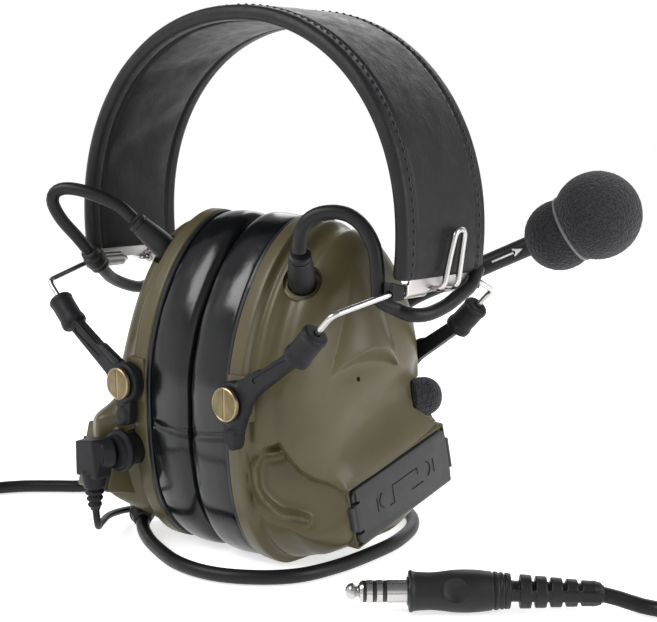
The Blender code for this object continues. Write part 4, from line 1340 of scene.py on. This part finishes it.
PIN_RINGS = ((5.6, 6.6), (8.8, 9.8), (12.0, 13.0))
MEDALLION_PLACE = 34.4
# The handle's outline: distance from the pin's tip, radius.
HANDLE_OUTLINE = [(20.0, 3.9), (20.05, 5.9), (20.3, 6.5), (21.0, 6.6), (21.6, 6.2), (24, 6.0),
                  (27, 5.9), (30, 6.1), (34, 6.6), (38, 6.75), (42, 6.6), (45.4, 6.2),
                  (46.2, 6.1), (46.5, 5.7), (46.9, 5.7), (47.2, 6.05), (48.2, 5.95),
                  (48.5, 5.6), (48.9, 5.6), (49.2, 5.85), (50, 5.7), (50.2, 5.0)]


def coil_turns():
    """One flat turn winding inwards, then half a turn that climbs onto it and leaves."""
    turns = []
    for degrees in range(0, COIL_END + 1, 10):
        past = max(0, degrees - 360)
        lift = math.radians(min(past, 90))
        radius = COIL_OUTER - COIL_STEP * (past if past else degrees) / 360
        if past:
            radius -= COIL_STEP * math.cos(lift)
        angle = math.radians(degrees)
        turns.append((COIL_CENTRE[0] + radius * math.cos(angle),
                      COIL_CENTRE[1] + radius * math.sin(angle),
                      2.8 + (COIL_STEP * math.sin(lift) if past else 0)))
    return turns


def make_downlead(plug_pieces):
    """The free lead from the gland through its coil to the plug."""
    route = DOWNLEAD_START + coil_turns() + DOWNLEAD_END
    fine = smooth_route(route, 3.0)
    curve = bpy.data.curves.new("downlead", "CURVE")
    curve.dimensions = "3D"
    curve.bevel_depth = DOWNLEAD_RADIUS * MM
    curve.bevel_resolution = 5
    curve.use_fill_caps = True
    spline = curve.splines.new("POLY")
    spline.points.add(len(fine) - 1)
    for place, point in zip(spline.points, fine):
        place.co = (*frame_point(point), 1)
    curve.materials.append(LOOKS["cable"])
    lead = placed("downlead", curve)
    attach(lead, "cup_left")
    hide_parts("downlead_near", "downlead_coil", "downlead_far")


def make_pin(tip, back):
    """The steel pin with its ball tip and bands, and the black rings between the bands."""
    metal = [turned(tip, back, [(0, 0.4), (0.25, 1.3), (0.9, 2.2), (1.8, 2.65), (2.6, 2.6),
                                (3.4, 1.9), (3.8, 1.7), (4.2, 2.0), (4.7, 3.0), (5.6, 3.5)]),
             turned(tip, back, [(5.5, 3.1), (19.6, 3.1)])]
    for low, high in PIN_BANDS:
        metal.append(turned(tip, back, [(low, 3.3), (low + 0.2, 3.56), (high - 0.2, 3.56),
                                        (high, 3.3)]))
    pin = add_piece("plug_contacts", mesh_of(*join(*metal)), "steel", "cup_left",
                    ["plug_pin"], 30)
    rings = [turned(tip, back, [(low, 3.2), (low + 0.08, 3.42), (high - 0.08, 3.42),
                                (high, 3.2)]) for low, high in PIN_RINGS]
    rings.append(turned(tip, back, [(19.4, 3.4), (19.5, 4.5), (20.3, 4.6), (20.4, 3.4)]))
    insulators = add_piece("plug_insulators", mesh_of(*join(*rings)), "gloss", "cup_left",
                           (), 30)
    return [pin, insulators]


def make_handle(tip, back):
    outline = [tuple(v)[:2] for v in smooth_route([(d, r, 0) for d, r in HANDLE_OUTLINE], 0.4)]
    handle = add_piece("plug_grip", mesh_of(*turned(tip, back, outline)), "rubber", "cup_left",
                       ["plug_handle"], 45)
    way = (back - tip).normalized()
    up = way.cross(Vector((0, 0, 1))).normalized().cross(way)
    middle = tip + way * MEDALLION_PLACE
    facing = (Vector(CAMERA_BACK) - way * Vector(CAMERA_BACK).dot(way)).normalized()
    facing = (facing + 0.22 * up).normalized()
    disc = turned(middle + facing * 5.4, middle + facing * 12,
                  [(0, 4.1), (1.1, 4.1), (1.3, 3.9), (1.3, 3.6), (1.15, 3.4), (1.15, 0.2)])
    medal = add_piece("plug_medallion", mesh_of(*disc), "rubber", "cup_left",
                      (), 40)
    return [handle, medal]


def make_boot(tip, back):
    """The slotted boot: a core, ribs that shrink towards the cable, and two side bars."""
    end = Vector(BOOT_END)
    start = back + (end - back).normalized() * 0.6
    along = (end - start).normalized()
    length = (end - start).length
    shapes = [turned(start, end, [(0, 3.4), (length, 2.9), (length + 1.2, 2.8)], 32)]
    pitch = (length - 1.5) / BOOT_RIBS
    for k in range(BOOT_RIBS):
        radius = 5.7 - 0.32 * k
        low = start + along * (0.5 + pitch * k)
        share = 0.4 if k == 0 else 0.74
        shapes.append(rod(low, low + along * pitch * share, radius, radius - 0.12, 0.3))
    shapes.append(rod(end - along * 2.6, end + along * 0.4, 4.1, 3.6, 0.4))
    turn = along.to_track_quat("X", "Z").to_matrix()
    across = (back - tip).normalized().cross(Vector((0, 0, 1))).normalized()
    bar_points, bar_faces = block((-length / 2 + 0.6, -0.9, -1.7), (length / 2, 0.9, 1.7), 0.3, 2)
    for spread in (-1, 1):
        middle = (start + end) / 2 + across * spread * 3.6
        shapes.append(([middle + turn @ Vector(p) for p in bar_points], bar_faces))
    return [add_piece("plug_relief", moulded(join(*shapes), 0.34, 2), "rubber", "cup_left",
                      ["plug_boot"], 45)]


def make_lead_gland():
    start, end = Vector(DOWNLEAD_START[0]), Vector(DOWNLEAD_START[1])
    way = (end - start).normalized()
    outline = [(0, 4.4), (6, 4.4), (6.6, 4.9), (8.2, 4.9), (8.8, 4.2), (12.5, 3.4), (12.8, 3.0)]
    return [add_piece("lead_gland", mesh_of(*turned(start - way * 13, end, outline)), "rubber",
                      "cup_left", ["downlead_gland"], 40)]


def make_plug():
    tip, back = Vector(PLUG_TIP), Vector(PLUG_BACK)
    return make_pin(tip, back) + make_handle(tip, back) + make_boot(tip, back) + make_lead_gland()


# ---------------------------------------------------------------- small parts

def make_buttons():
    """Three domed rubber caps on the right cup."""
    for (y, z), name in zip(BUTTON_PLACES, ("up", "power", "down")):
        dome = [(0, 3.0), (7.0, 3.0)] + [(7.0 + 0.8 * math.sin(a), 3.0 - 0.8 * (1 - math.cos(a)))
                                         for a in np.linspace(0.2, 1.55, 6)] + [(7.9, 1.2)]
        mesh = mesh_of(*turned((BUTTON_X, y - 7.5, z), (BUTTON_X, y + 20, z), dome))
        add_piece(f"button_cap_{name}", mesh, "rubber", f"key_{name}",
                  [f"button_{name}"], 40)


def dress_cad_nodes():
    """Better materials for the inner pieces whose solids already have their shape."""
    looks = {"circuit_board": "board", "mic_capsule": "black", "band_spring_top": "satin_steel"}
    for side_name in SIDES:
        looks |= {f"speaker_{side_name}": "black", f"battery_{side_name}": "cell",
                  f"battery_contacts_{side_name}": "steel"}
    for name, look in looks.items():
        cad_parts[name].data.materials.clear()
        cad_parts[name].data.materials.append(LOOKS[look])


LOOKS = make_materials()
make_camera()
make_floor()
make_world()
make_downlead(make_plug())
for side_name, side in SIDES.items():
    make_shell(side_name, side)
    make_cushion(side_name, side)
    make_baffle(side_name, side)
    make_liner(side_name, side)
    make_door(side_name, side)
    for end, end_name in ((-1, "rear"), (1, "front")):
        make_arm(end, end_name, side_name, side)
        make_screw(end, end_name, side_name, side)
    make_band_half(side_name, side)
    make_foot(side_name, side)
    make_audio_lead(side_name)
    make_gland(side_name, side)
    make_mic_foam(side_name, side)
make_lead_clip()
make_connector()
make_boom()
make_buttons()
dress_cad_nodes()
